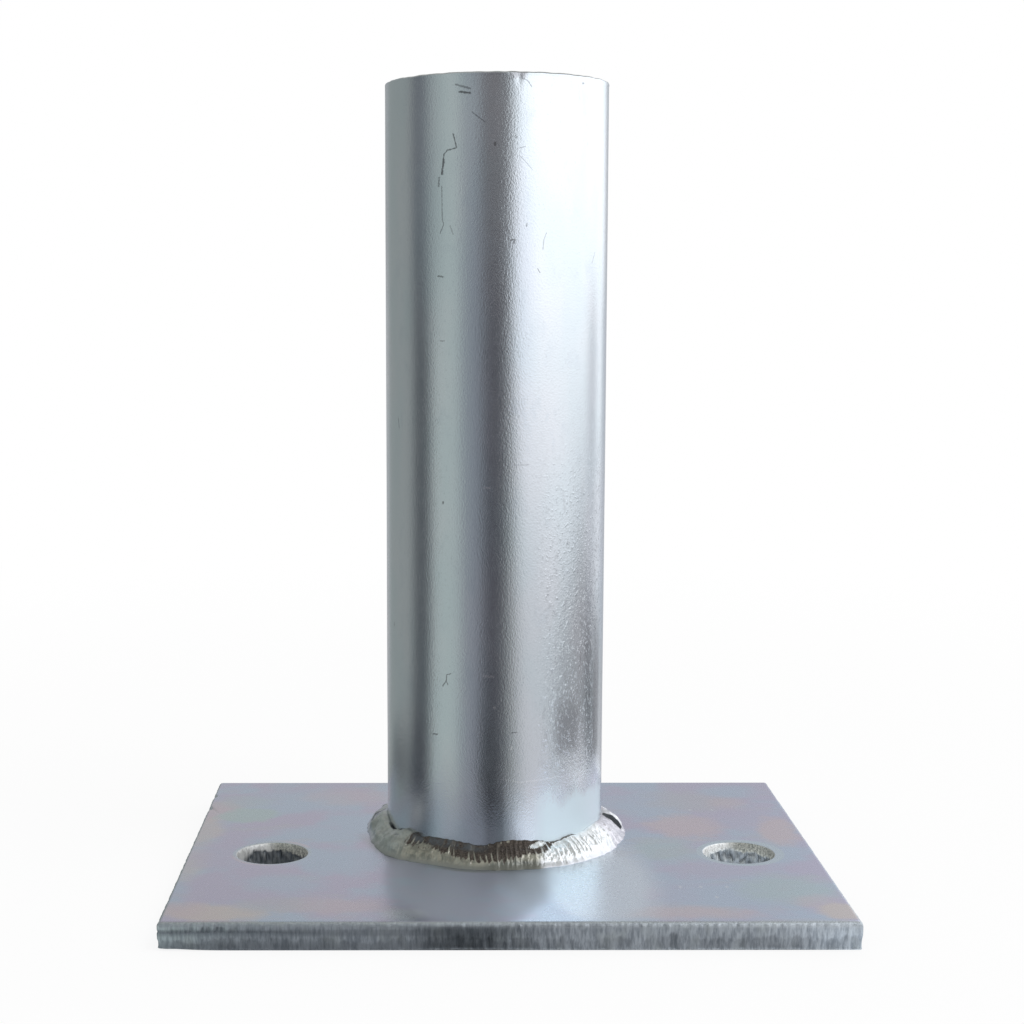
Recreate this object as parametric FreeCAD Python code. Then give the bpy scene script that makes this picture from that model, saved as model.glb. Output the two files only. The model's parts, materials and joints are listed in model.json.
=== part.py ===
import FreeCAD, Part
import math
import os

# Railing post base: a round tube welded upright on a sheared steel plate with two fixing holes.
# Millimetres. +Z is up, X runs along the plate's length and Y towards its back edge.
# The origin is the centre of the plate's underside.

# Base plate, cut from flat bar by a shear
PLATE_LENGTH = 120.0
PLATE_WIDTH = 92.0
PLATE_THICKNESS = 5.0
ROLLED_EDGE_RADIUS = 0.9  # the shear draws the top edge over
CUT_FACE_LEAN = 0.2  # each cut face leans in by this much, from the rolled edge to the underside
UNDERSIDE_EDGE_RADIUS = 0.25

# Fixing holes, punched from above
HOLE_DIAMETER = 13.0
HOLE_SPACING = 89.0
HOLE_LINE_X = 0.7  # middle of the pair, from the plate's centre
HOLE_LINE_Y = -6.3
HOLE_LIP = 0.5  # the punch draws the top lip in
HOLE_BREAKOUT = 0.2  # blunt edge on the underside

# Post tube, open at the top
TUBE_DIAMETER = 42.4
TUBE_WALL = 2.6
TUBE_LENGTH = 145.0
TUBE_X = -1.0  # the tube's axis, from the plate's centre
TUBE_Y = 9.0
TUBE_RIM_BREAK = 0.3  # filed edges of the open end

# Fillet weld all round the foot of the tube
WELD_HEIGHT = 4.6  # up the tube
WELD_REACH = 4.6  # over the plate, on average
WELD_REACH_SWING = 0.4  # how much the hand-laid bead wanders
WELD_CROWN = 0.45  # how far the bead's face stands proud of a straight line between its toes
WELD_MELT = 1.4  # how deep the tube's wall is melted away at the plate
RIPPLE_PITCH = 2.3
RIPPLE_HEIGHT = 0.14  # from hollow to crest
RIPPLE_TRAIL = 0.55  # a ripple's middle trails its ends by this many pitches

# How finely the bead's surface is controlled
POLES_PER_RIPPLE = 3
POLES_ACROSS_BEAD = 4
SURFACE_DEGREE = 3

UP = FreeCAD.Vector(0, 0, 1)


def edges_at_height(shape, z, radius=None):
    """Edges that lie level at height z, all of them or only the circles of one radius."""
    found = []
    for edge in shape.Edges:
        level = abs(edge.BoundBox.ZMin - z) < 1e-4 and abs(edge.BoundBox.ZMax - z) < 1e-4
        round_edge = isinstance(edge.Curve, Part.Circle) and radius is not None
        if level and (radius is None or (round_edge and abs(edge.Curve.Radius - radius) < 1e-4)):
            found.append(edge)
    return found


def hole_centres():
    """The fixing holes' centres, left then right."""
    return [(HOLE_LINE_X + side * HOLE_SPACING / 2, HOLE_LINE_Y) for side in (-1, 1)]


def sheared_bar(length, width):
    """A plain-ended bar along X whose sides lean in, with rolled upper and blunt lower edges.

    The rolled edge swells a little past its own tangent on the leaning side, so the section is made
    wider by that much and the finished bar has its stated width.
    """
    lean = math.atan(CUT_FACE_LEAN / PLATE_THICKNESS)
    swell = ROLLED_EDGE_RADIUS * (math.tan(lean) + 1 / math.cos(lean) - 1)
    top = width / 2 + swell
    foot = top - CUT_FACE_LEAN
    section = [(-foot, 0), (foot, 0), (top, PLATE_THICKNESS), (-top, PLATE_THICKNESS)]
    points = [FreeCAD.Vector(-length / 2, y, z) for y, z in section]
    bar = Part.Face(Part.makePolygon(points + points[:1])).extrude(FreeCAD.Vector(length, 0, 0))
    for z, radius in ((PLATE_THICKNESS, ROLLED_EDGE_RADIUS), (0, UNDERSIDE_EDGE_RADIUS)):
        along = [edge for edge in edges_at_height(bar, z) if edge.BoundBox.XLength > length / 2]
        bar = bar.makeFillet(radius, along)
    return bar


def make_base_plate():
    """The plate: what two crossing sheared bars share, with two punched holes."""
    overhang = PLATE_THICKNESS
    plate = sheared_bar(PLATE_LENGTH + overhang, PLATE_WIDTH)
    crossing = sheared_bar(PLATE_WIDTH + overhang, PLATE_LENGTH)
    crossing.rotate(FreeCAD.Vector(0, 0, 0), UP, 90)
    plate = plate.common(crossing)
    radius = HOLE_DIAMETER / 2
    for x, y in hole_centres():
        plate = plate.cut(Part.makeCylinder(radius, PLATE_THICKNESS, FreeCAD.Vector(x, y, 0)))
    plate = plate.makeChamfer(HOLE_LIP, edges_at_height(plate, PLATE_THICKNESS, radius))
    return plate.makeChamfer(HOLE_BREAKOUT, edges_at_height(plate, 0, radius))


def make_post_tube():
    """The tube, turned round its axis from a section that starts at the melted foot."""
    outer = TUBE_DIAMETER / 2
    inner = outer - TUBE_WALL
    section = [
        (inner, 0),
        (outer - WELD_MELT, 0),
        (outer, WELD_HEIGHT),
        (outer, TUBE_LENGTH - TUBE_RIM_BREAK),
        (outer - TUBE_RIM_BREAK, TUBE_LENGTH),
        (inner + TUBE_RIM_BREAK, TUBE_LENGTH),
        (inner, TUBE_LENGTH - TUBE_RIM_BREAK),
    ]
    points = [FreeCAD.Vector(TUBE_X + r, TUBE_Y, PLATE_THICKNESS + z) for r, z in section]
    face = Part.Face(Part.makePolygon(points + points[:1]))
    return face.revolve(FreeCAD.Vector(TUBE_X, TUBE_Y, 0), UP, 360)


def pole_gain(step):
    """How far a wave's poles stand beyond the cubic curve they control, with step as their spacing."""
    return 3 / (2 + math.cos(step))


def weld_point(angle, across, ripples):
    """A control point of the bead's face: across runs from 0 at the tube to 1 on the plate.

    The face is a straight line between its two toes, swollen by the crown and the ripples. The reach
    over the plate wanders slowly round the tube, and both swellings die away at the toes.
    """
    wander = 0.6 * math.sin(2 * angle + 0.8) + 0.4 * math.sin(5 * angle + 2.1)
    reach = WELD_REACH + WELD_REACH_SWING * wander
    bow = 4 * across * (1 - across)
    wave = math.cos(ripples * angle + 2 * math.pi * RIPPLE_TRAIL * bow)
    crest = RIPPLE_HEIGHT / 2 * pole_gain(2 * math.pi / POLES_PER_RIPPLE)
    swell = bow * (WELD_CROWN * (1 + 0.3 * math.sin(3 * angle + 1.2)) + crest * wave)
    slope = math.hypot(reach, WELD_HEIGHT)
    radius = TUBE_DIAMETER / 2 + reach * across + swell * WELD_HEIGHT / slope
    height = WELD_HEIGHT * (1 - across) + swell * reach / slope
    return radius, height


def weld_surface():
    """The bead's face as one surface that closes on itself, and the number of its spans."""
    mean_radius = TUBE_DIAMETER / 2 + WELD_REACH / 2
    ripples = max(3, round(2 * math.pi * mean_radius / RIPPLE_PITCH))
    spans = ripples * POLES_PER_RIPPLE
    step = 2 * math.pi / spans
    poles = []
    for i in range(spans):
        angle = i * step
        row = []
        for j in range(POLES_ACROSS_BEAD + 1):
            radius, height = weld_point(angle, j / POLES_ACROSS_BEAD, ripples)
            radius *= pole_gain(step)
            x = TUBE_X + radius * math.cos(angle)
            y = TUBE_Y + radius * math.sin(angle)
            row.append(FreeCAD.Vector(x, y, PLATE_THICKNESS + height))
        poles.append(row)
    inner_knots = POLES_ACROSS_BEAD - SURFACE_DEGREE
    ends = SURFACE_DEGREE + 1
    surface = Part.BSplineSurface()
    surface.buildFromPolesMultsKnots(
        poles,
        [1] * (spans + 1),
        [ends] + [1] * inner_knots + [ends],
        list(range(spans + 1)),
        list(range(inner_knots + 2)),
        True,
        False,
        SURFACE_DEGREE,
        SURFACE_DEGREE,
    )
    return surface, spans


def make_weld_bead():
    """The fillet weld: the rippled face, the cone melted into the tube and the flat on the plate.

    Each ring is made in two halves that share their edges, and the halves are sewn into one solid.
    """
    outer = TUBE_DIAMETER / 2
    root = outer - WELD_MELT
    foot = FreeCAD.Vector(TUBE_X, TUBE_Y, PLATE_THICKNESS)
    faces = []
    toe_edges = []
    surface, spans = weld_surface()
    for half in (0, 1):
        patch = surface.copy()
        patch.segment(half * spans / 2, (half + 1) * spans / 2, *surface.bounds()[2:])
        rippled = patch.toShape()
        faces.append(rippled)
        toe_edges += edges_at_height(rippled, PLATE_THICKNESS)
        cone = Part.makeCone(root, outer, WELD_HEIGHT, foot, UP, 180)
        cone.rotate(foot, UP, 180 * half)
        faces += [face for face in cone.Faces if isinstance(face.Surface, Part.Cone)]
    rings = [Part.Wire(Part.__sortEdges__(toe_edges)), Part.Wire(Part.makeCircle(root, foot))]
    faces.append(Part.Face(rings))
    shell = Part.Shell(faces)
    shell.sewShape()
    return Part.Solid(shell)


SUB_PARTS = {
    "base_plate": make_base_plate,
    "post_tube": make_post_tube,
    "weld_bead": make_weld_bead,
}

os.makedirs("parts", exist_ok=True)
for name, make in SUB_PARTS.items():
    shape = make()
    shape.exportStep(f"parts/{name}.step")
    print(name, "valid", shape.isValid(), "volume", round(shape.Volume, 1), "faces", len(shape.Faces))
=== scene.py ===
"""Railing post base: the dressed plate, tube and weld, with their light, floor and camera.

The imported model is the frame. Lengths are millimetres until a mesh is written, and bearings are degrees
round the tube's axis, 0 at the front (-Y) and 90 at the right-hand side (+X).
"""
import json
import logging
import math
from dataclasses import dataclass, field
from enum import Enum

import bpy
import numpy as np
from numpy.typing import NDArray
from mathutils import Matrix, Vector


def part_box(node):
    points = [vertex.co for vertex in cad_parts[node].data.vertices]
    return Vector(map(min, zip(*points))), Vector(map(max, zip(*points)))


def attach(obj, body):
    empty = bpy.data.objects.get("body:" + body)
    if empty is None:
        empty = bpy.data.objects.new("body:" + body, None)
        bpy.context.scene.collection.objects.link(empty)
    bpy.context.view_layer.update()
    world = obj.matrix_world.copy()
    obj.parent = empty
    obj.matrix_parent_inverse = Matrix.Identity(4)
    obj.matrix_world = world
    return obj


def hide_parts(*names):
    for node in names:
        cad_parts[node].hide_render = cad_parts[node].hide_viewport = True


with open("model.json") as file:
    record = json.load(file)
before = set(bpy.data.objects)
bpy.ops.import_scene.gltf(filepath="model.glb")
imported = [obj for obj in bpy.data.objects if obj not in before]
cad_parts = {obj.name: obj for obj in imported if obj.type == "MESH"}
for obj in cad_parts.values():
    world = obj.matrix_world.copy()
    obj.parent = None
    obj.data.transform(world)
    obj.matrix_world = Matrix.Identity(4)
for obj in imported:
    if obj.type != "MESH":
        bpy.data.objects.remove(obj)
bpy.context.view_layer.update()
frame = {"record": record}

log = logging.getLogger("railing_post_base")

MM = 0.001
FULL_TURN = 2 * math.pi
Array = NDArray[np.float64]
Colour = tuple[float, float, float]
Shades = tuple[Colour, Colour]
Place = tuple[float, float]

SAME_POINT_STEPS = 1e5  # points that fall on the same one of this many steps a millimetre are joined
EVEN = (1.0, 1.0, 99.0)  # stretch of waves that hardly change with height
WHITE = (1.0, 1.0, 1.0, 1.0)


class Node(Enum):
    """Names of the model's nodes."""

    PLATE = "base_plate"
    TUBE = "post_tube"
    WELD = "weld_bead"


class Slot(Enum):
    """Names of the record's material slots."""

    PLATE = "plate_steel"
    TUBE = "tube_steel"
    WELD = "weld_metal"


def mount(name: str) -> tuple[Place, dict[str, float]]:
    """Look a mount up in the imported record.

    Args:
        name: The mount's name.

    Returns:
        Its place seen from above and its sizes, both in millimetres.
    """
    found = next(entry for entry in frame["record"]["mounts"] if entry["name"] == name)
    x, y, _ = found["pos_m"]
    return (x / MM, y / MM), found["dims"]


def box_mm(node: Node) -> tuple[Array, Array]:
    """Measure a node of the frame.

    Args:
        node: The node to measure.

    Returns:
        Its lowest and highest corners in millimetres.
    """
    low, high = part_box(node.value)
    return np.array(low) / MM, np.array(high) / MM


def smooth_step(value: Array, start: float | Array, end: float | Array) -> Array:
    """Ease from 0 to 1: with t the clipped share of the way from start to end, 3t^2 - 2t^3.

    Args:
        value: What is eased.
        start: Where the result is 0.
        end: Where the result is 1; it may be the smaller of the two.

    Returns:
        The eased share, of the same shape as value.
    """
    share = np.clip((value - start) / (end - start), 0, 1)
    return share * share * (3 - 2 * share)


def hump(value: Array, middle: float | Array, width: float) -> Array:
    """A bell: e to the minus square of the distance from the middle over the width."""
    return np.exp(-(((value - middle) / width) ** 2))


def window(value: Array, start: float, full: float, last: float, end: float) -> Array:
    """Ease up from 0 at start to 1 at full, and down from 1 at last to 0 at end."""
    return smooth_step(value, start, full) * smooth_step(value, end, last)


@dataclass(frozen=True)
class Waves:
    """Random waves that fill space, so a pattern closes on itself round any ring.

    Attributes:
        length: Their mean wavelength in millimetres.
        seed: Seed of their directions and phases.
        stretch: How much longer they are along X, Y and Z.
        count: How many are added up.
    """

    length: float
    seed: int
    stretch: tuple[float, float, float] = (1.0, 1.0, 1.0)
    count: int = 36

    def at(self, points: Array) -> Array:
        """Sum cos(k . p + phase) over waves in random directions, times the root of 2 / count.

        Args:
            points: Places, with x, y and z last.

        Returns:
            The height at each place, with a mean of 0 and a spread of about 1.
        """
        rng = np.random.default_rng(self.seed)
        way = rng.normal(size=(self.count, 3))
        way /= np.linalg.norm(way, axis=1, keepdims=True)
        pitch = FULL_TURN / self.length * rng.uniform(0.65, 1.5, (self.count, 1))
        turns = way * pitch / np.array(self.stretch)
        phase = rng.uniform(0, FULL_TURN, self.count)
        return math.sqrt(2 / self.count) * np.cos(points @ turns.T + phase).sum(-1)


def straight(start: Place, end: Place, steps: int) -> Array:
    """Points along a line of a profile, with its start and without its end."""
    share = np.arange(steps)[:, None] / steps
    return np.array(start) * (1 - share) + np.array(end) * share


def arc(centre: Place, radius: float, first: float, last: float, steps: int) -> Array:
    """Points along an arc of a profile: centre + radius (cos t, sin t).

    Args:
        centre: The arc's centre.
        radius: The arc's radius.
        first: Angle of its first point, in degrees.
        last: Angle of its end, which is left out.
        steps: Number of points.

    Returns:
        The points, two numbers each.
    """
    turn = np.radians(first + (last - first) * np.arange(steps) / steps)
    return np.array(centre) + radius * np.stack([np.cos(turn), np.sin(turn)], -1)


def ring_steps(count: int) -> tuple[Array, Array]:
    """Even steps once round an axis, as turns in radians and as bearings from -180 to 180 degrees."""
    turn = np.arange(count) * FULL_TURN / count
    return turn, (np.degrees(turn) + 180) % 360 - 180


def around(axis: Place, turn: Array, radius: float | Array, height: float | Array) -> Array:
    """Points round an upright axis: axis + radius (sin turn, -cos turn), at their height.

    Args:
        axis: Where the axis stands.
        turn: The turn of each column, 0 at the front.
        radius: Distance from the axis, one for all or by row and column.
        height: As radius, above the plate's underside.

    Returns:
        The points, with x, y and z last.
    """
    x = axis[0] + radius * np.sin(turn)
    y = axis[1] - radius * np.cos(turn)
    return np.stack([x, y, np.broadcast_to(height, x.shape)], -1)


@dataclass
class Patch:
    """A surface worked out on a grid, whose last column joins its first.

    Attributes:
        points: Places by row and column.
        closed_rows: Whether the last row joins the first.
        marks: Named values at each point, which the finish reads.
    """

    points: Array
    closed_rows: bool = False
    marks: dict[str, Array] = field(default_factory=dict)

    def faces(self) -> NDArray[np.int64]:
        """Each cell of the grid as the numbers of its four corners."""
        rows, columns = self.points.shape[:2]
        index = np.arange(rows * columns).reshape(rows, columns)
        if self.closed_rows:
            index = np.concatenate([index, index[:1]])
        index = np.concatenate([index, index[:, :1]], axis=1)
        cells = [index[:-1, :-1], index[:-1, 1:], index[1:, 1:], index[1:, :-1]]
        return np.stack(cells, -1).reshape(-1, 4)


def enclosed_volume(points: Array, faces: NDArray[np.int64]) -> float:
    """Add up the tetrahedra from the origin to each face: positive when the faces point outwards."""
    a, b, c, d = (points[faces[:, corner]] for corner in range(4))
    return float((np.cross(a - c, b - d) * (a + b + c + d)).sum() / 24)


def add_object(name: str, data: bpy.types.ID) -> bpy.types.Object:
    """Put a mesh, a lamp or a camera in the scene."""
    made = bpy.data.objects.new(name, data)
    bpy.context.scene.collection.objects.link(made)
    return made


def make_piece(name: str, patches: list[Patch], node: Node, finish: "Finish") -> bpy.types.Object:
    """Join patches along the points that they share and put the piece in its node's place.

    Args:
        name: The piece's name.
        patches: Surfaces that together close a shell.
        node: The node that the piece stands for.
        finish: What the piece is dressed with.

    Returns:
        The new object.
    """
    points = np.concatenate([patch.points.reshape(-1, 3) for patch in patches])
    starts = np.cumsum([0] + [patch.points[..., 0].size for patch in patches])
    faces = np.concatenate([patch.faces() + start for patch, start in zip(patches, starts)])
    keys = np.round(points * SAME_POINT_STEPS).astype(np.int64)
    _, first, merged = np.unique(keys, axis=0, return_index=True, return_inverse=True)
    points, faces = points[first], merged.reshape(-1)[faces]
    if enclosed_volume(points, faces) < 0:
        faces = faces[:, ::-1]

    mesh = bpy.data.meshes.new(name)
    mesh.vertices.add(len(points))
    mesh.vertices.foreach_set("co", (points * MM).astype(np.float32).ravel())
    mesh.loops.add(faces.size)
    mesh.loops.foreach_set("vertex_index", faces.astype(np.int32).ravel())
    mesh.polygons.add(len(faces))
    mesh.polygons.foreach_set("loop_start", np.arange(0, faces.size, 4, dtype=np.int32))
    mesh.polygons.foreach_set("use_smooth", np.ones(len(faces), dtype=bool))
    for mark in patches[0].marks:
        values = np.concatenate([patch.marks[mark].ravel() for patch in patches])[first]
        mesh.attributes.new(mark, "FLOAT", "POINT").data.foreach_set("value", values.astype(np.float32))
    mesh.update(calc_edges=True)
    mesh.validate()
    mesh.materials.append(finish.material())

    piece = add_object(name, mesh)
    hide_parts(node.value)
    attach(piece, "root")
    log.info("%s: %d points, %d faces, for %s", name, len(points), len(faces), node.value)
    return piece


@dataclass(frozen=True)
class Signal:
    """A value that runs through a node tree; arithmetic on it adds Math nodes.

    Attributes:
        shader: The tree.
        socket: The output that gives the value.
    """

    shader: "Shader"
    socket: bpy.types.NodeSocket

    def __add__(self, other: "Term") -> "Signal":
        """The sum."""
        return self.shader.math("ADD", self, other)

    __radd__ = __add__

    def __sub__(self, other: "Term") -> "Signal":
        """The difference."""
        return self.shader.math("SUBTRACT", self, other)

    def __rsub__(self, other: "Term") -> "Signal":
        """The difference the other way round."""
        return self.shader.math("SUBTRACT", other, self)

    def __mul__(self, other: "Term") -> "Signal":
        """The product."""
        return self.shader.math("MULTIPLY", self, other)

    __rmul__ = __mul__

    def __truediv__(self, other: "Term") -> "Signal":
        """The quotient."""
        return self.shader.math("DIVIDE", self, other)

    def __abs__(self) -> "Signal":
        """The size without its sign."""
        return self.shader.math("ABSOLUTE", self, 0.0)

    def eased(self, start: float, end: float) -> "Signal":
        """Ease from 0 where the value is start to 1 where it is end."""
        low, high = min(start, end), max(start, end)
        ends = (0.0, 1.0) if start < end else (1.0, 0.0)
        sockets = {"Value": self, "From Min": low, "From Max": high, "To Min": ends[0], "To Max": ends[1]}
        return self.shader.node("ShaderNodeMapRange", {"interpolation_type": "SMOOTHSTEP"}, sockets)

    def between(self, start: float, full: float, last: float, end: float) -> "Signal":
        """Ease up from 0 at start to 1 at full, and down from 1 at last to 0 at end."""
        return self.eased(start, full) * self.eased(end, last)


Term = Signal | float


@dataclass
class Shader:
    """A node tree in the making, with one method that adds any node.

    Attributes:
        owner: The material or the world that the tree belongs to.
    """

    owner: bpy.types.Material | bpy.types.World

    def __post_init__(self) -> None:
        """Empty the owner's node tree and keep it."""
        self.owner.use_nodes = True
        self.tree = self.owner.node_tree
        self.tree.nodes.clear()

    def node(
        self, kind: str, settings: dict | None = None, sockets: dict | None = None, output: int | str = 0
    ) -> Signal:
        """Add a node.

        Args:
            kind: The node's type.
            settings: Its properties, set first.
            sockets: Values or signals for its inputs, by name or number.
            output: The output wanted.

        Returns:
            The output as a signal.
        """
        made = self.tree.nodes.new(kind)
        for name, value in (settings or {}).items():
            setattr(made, name, value)
        for key, value in (sockets or {}).items():
            if isinstance(value, Signal):
                self.tree.links.new(value.socket, made.inputs[key])
            else:
                made.inputs[key].default_value = value
        return Signal(self, made.outputs[output])

    def math(self, operation: str, first: Term, second: Term) -> Signal:
        """One Math node on two terms."""
        return self.node("ShaderNodeMath", {"operation": operation}, {0: first, 1: second})

    def mix(self, share: Term, start: Signal | Colour, end: Signal | Colour) -> Signal:
        """Blend two colours: start where share is 0 and end where it is 1."""
        start, end = (part if isinstance(part, Signal) else (*part, 1.0) for part in (start, end))
        return self.node("ShaderNodeMix", {"data_type": "RGBA"}, {0: share, 6: start, 7: end}, 2)

    def place(self) -> Signal:
        """The place on the object, in millimetres."""
        metres = self.node("ShaderNodeTexCoord", output="Object")
        return self.node("ShaderNodeVectorMath", {"operation": "SCALE"}, {0: metres, "Scale": 1 / MM})

    def attribute(self, name: str) -> Signal:
        """A value that the mesh carries at each point."""
        return self.node("ShaderNodeAttribute", {"attribute_name": name}, output="Fac")

    def distance(self, first: Signal, second: Signal) -> Signal:
        """The root of the sum of two squares."""
        return self.math("SQRT", first * first + second * second, 0.0)

    def turned(self, bearing: Signal, middle: float) -> Signal:
        """Degrees between a bearing and a middle, the short way round."""
        sockets = {0: bearing - middle, 1: 180.0, 2: -180.0}
        return abs(self.node("ShaderNodeMath", {"operation": "WRAP"}, sockets))

    def stretched(self, place: Signal, shares: Colour) -> Signal:
        """A place with each coordinate multiplied, so that a pattern on it grows by the inverse."""
        return self.node("ShaderNodeVectorMath", {"operation": "MULTIPLY"}, {0: place, 1: shares})

    def noise(
        self, place: Signal, length: float, detail: float, roughness: float, squeeze: float = 1.0
    ) -> Signal:
        """Cloudy noise about 0.5.

        Args:
            place: The place that it is read at.
            length: Size of its features, in millimetres.
            detail: How many finer layers it has.
            roughness: How strong they are.
            squeeze: What heights are multiplied by first; less than 1 makes upright features.

        Returns:
            The noise.
        """
        if squeeze != 1.0:
            place = self.stretched(place, (1.0, 1.0, squeeze))
        sockets = {"Vector": place, "Scale": 1 / length, "Detail": detail, "Roughness": roughness}
        return self.node("ShaderNodeTexNoise", {"noise_dimensions": "3D"}, sockets)

    def parts(self, vector: Signal) -> tuple[Signal, Signal, Signal]:
        """The three numbers of a vector."""
        split = self.node("ShaderNodeSeparateXYZ", sockets={0: vector}).socket.node
        return tuple(Signal(self, output) for output in split.outputs)

    def bearing(self, x: Term, y: Term) -> Signal:
        """Degrees from the front (-Y) towards the right (+X) of a place that far from the axis."""
        return self.math("ARCTAN2", x, 0 - y) * math.degrees(1)

    def bump(self, height: Signal, depth: float) -> Signal:
        """Turn a height from 0 to 1 into a normal, with its full height in millimetres."""
        sockets = {"Height": height, "Distance": depth * MM, "Strength": 1.0}
        return self.node("ShaderNodeBump", sockets=sockets)

    def seen(self) -> Signal:
        """1 for camera, mirrored and passing rays, and 0 for those that light the part."""
        paths = self.node("ShaderNodeLightPath").socket.node.outputs
        names = ("Is Camera Ray", "Is Glossy Ray", "Is Transmission Ray")
        camera, mirrored, passing = (Signal(self, paths[name]) for name in names)
        return self.math("MINIMUM", camera + mirrored + passing, 1.0)

    def close(self, kind: str, surface: Signal) -> None:
        """End the tree in an output node of that kind."""
        self.tree.links.new(surface.socket, self.tree.nodes.new(kind).inputs["Surface"])

    def metal(self, sockets: dict) -> None:
        """End the tree in a metal surface with those inputs."""
        self.close("ShaderNodeOutputMaterial", self.node("ShaderNodeBsdfPrincipled", sockets=sockets))


@dataclass(frozen=True)
class Finish:
    """What a surface looks like.

    Attributes:
        name: The material's name.
    """

    name: str

    def wire(self, shader: Shader) -> None:
        """Fill the material's node tree."""
        raise NotImplementedError

    def material(self) -> bpy.types.Material:
        """Make the material."""
        made = bpy.data.materials.new(self.name)
        self.wire(Shader(made))
        return made


@dataclass(frozen=True)
class Spot:
    """A tinted patch on the plate's top, an ellipse with a ragged edge: most are tint in the zinc's clear
    coat, some are painted reflections of the tube.

    Attributes:
        x: Place of its middle from the plate's centre.
        y: As x, towards the back.
        long: Half its size along X.
        wide: Half its size along Y.
        tint: Its colour.
        strength: How much of that colour it takes on.
        edge: Share of its size over which it fades.
        ragged: How far its edge wanders.
        dull: What it adds to the roughness.
    """

    x: float
    y: float
    long: float
    wide: float
    tint: Colour
    strength: float = 0.7
    edge: float = 0.5
    ragged: float = 1.3
    dull: float = 0.0


@dataclass(frozen=True)
class Halo:
    """A ring of tint round a hole or the tube, whole or an arc of it: in the zinc's coat round the holes, and
    a painted shadow under the weld's front toe.

    Attributes:
        ring: What it lies round: 0 for the left hole, 1 for the right one and 2 for the tube.
        inner: Radius at which it starts.
        outer: Radius at which it ends.
        tint: Its colour.
        strength: How much of that colour it takes on.
        bearing: Middle of its arc.
        spread: Half the arc's angle.
        offset: How far its middle lies to the right of the ring's.
        blur: Half the width over which its edges fade.
        turn_blur: As blur for the arc's ends, in degrees.
    """

    ring: int
    inner: float
    outer: float
    tint: Colour
    strength: float
    bearing: float = 0.0
    spread: float = 200.0
    offset: float = 0.0
    blur: float = 0.15
    turn_blur: float = 12.0


LILAC: Colour = (0.705, 0.66, 0.79)
ICE: Colour = (0.645, 0.73, 0.845)
ROSE: Colour = (0.82, 0.70, 0.715)
STRAW: Colour = (0.85, 0.755, 0.69)
LEAF: Colour = (0.64, 0.755, 0.735)
FOG: Colour = (0.70, 0.70, 0.735)


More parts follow.
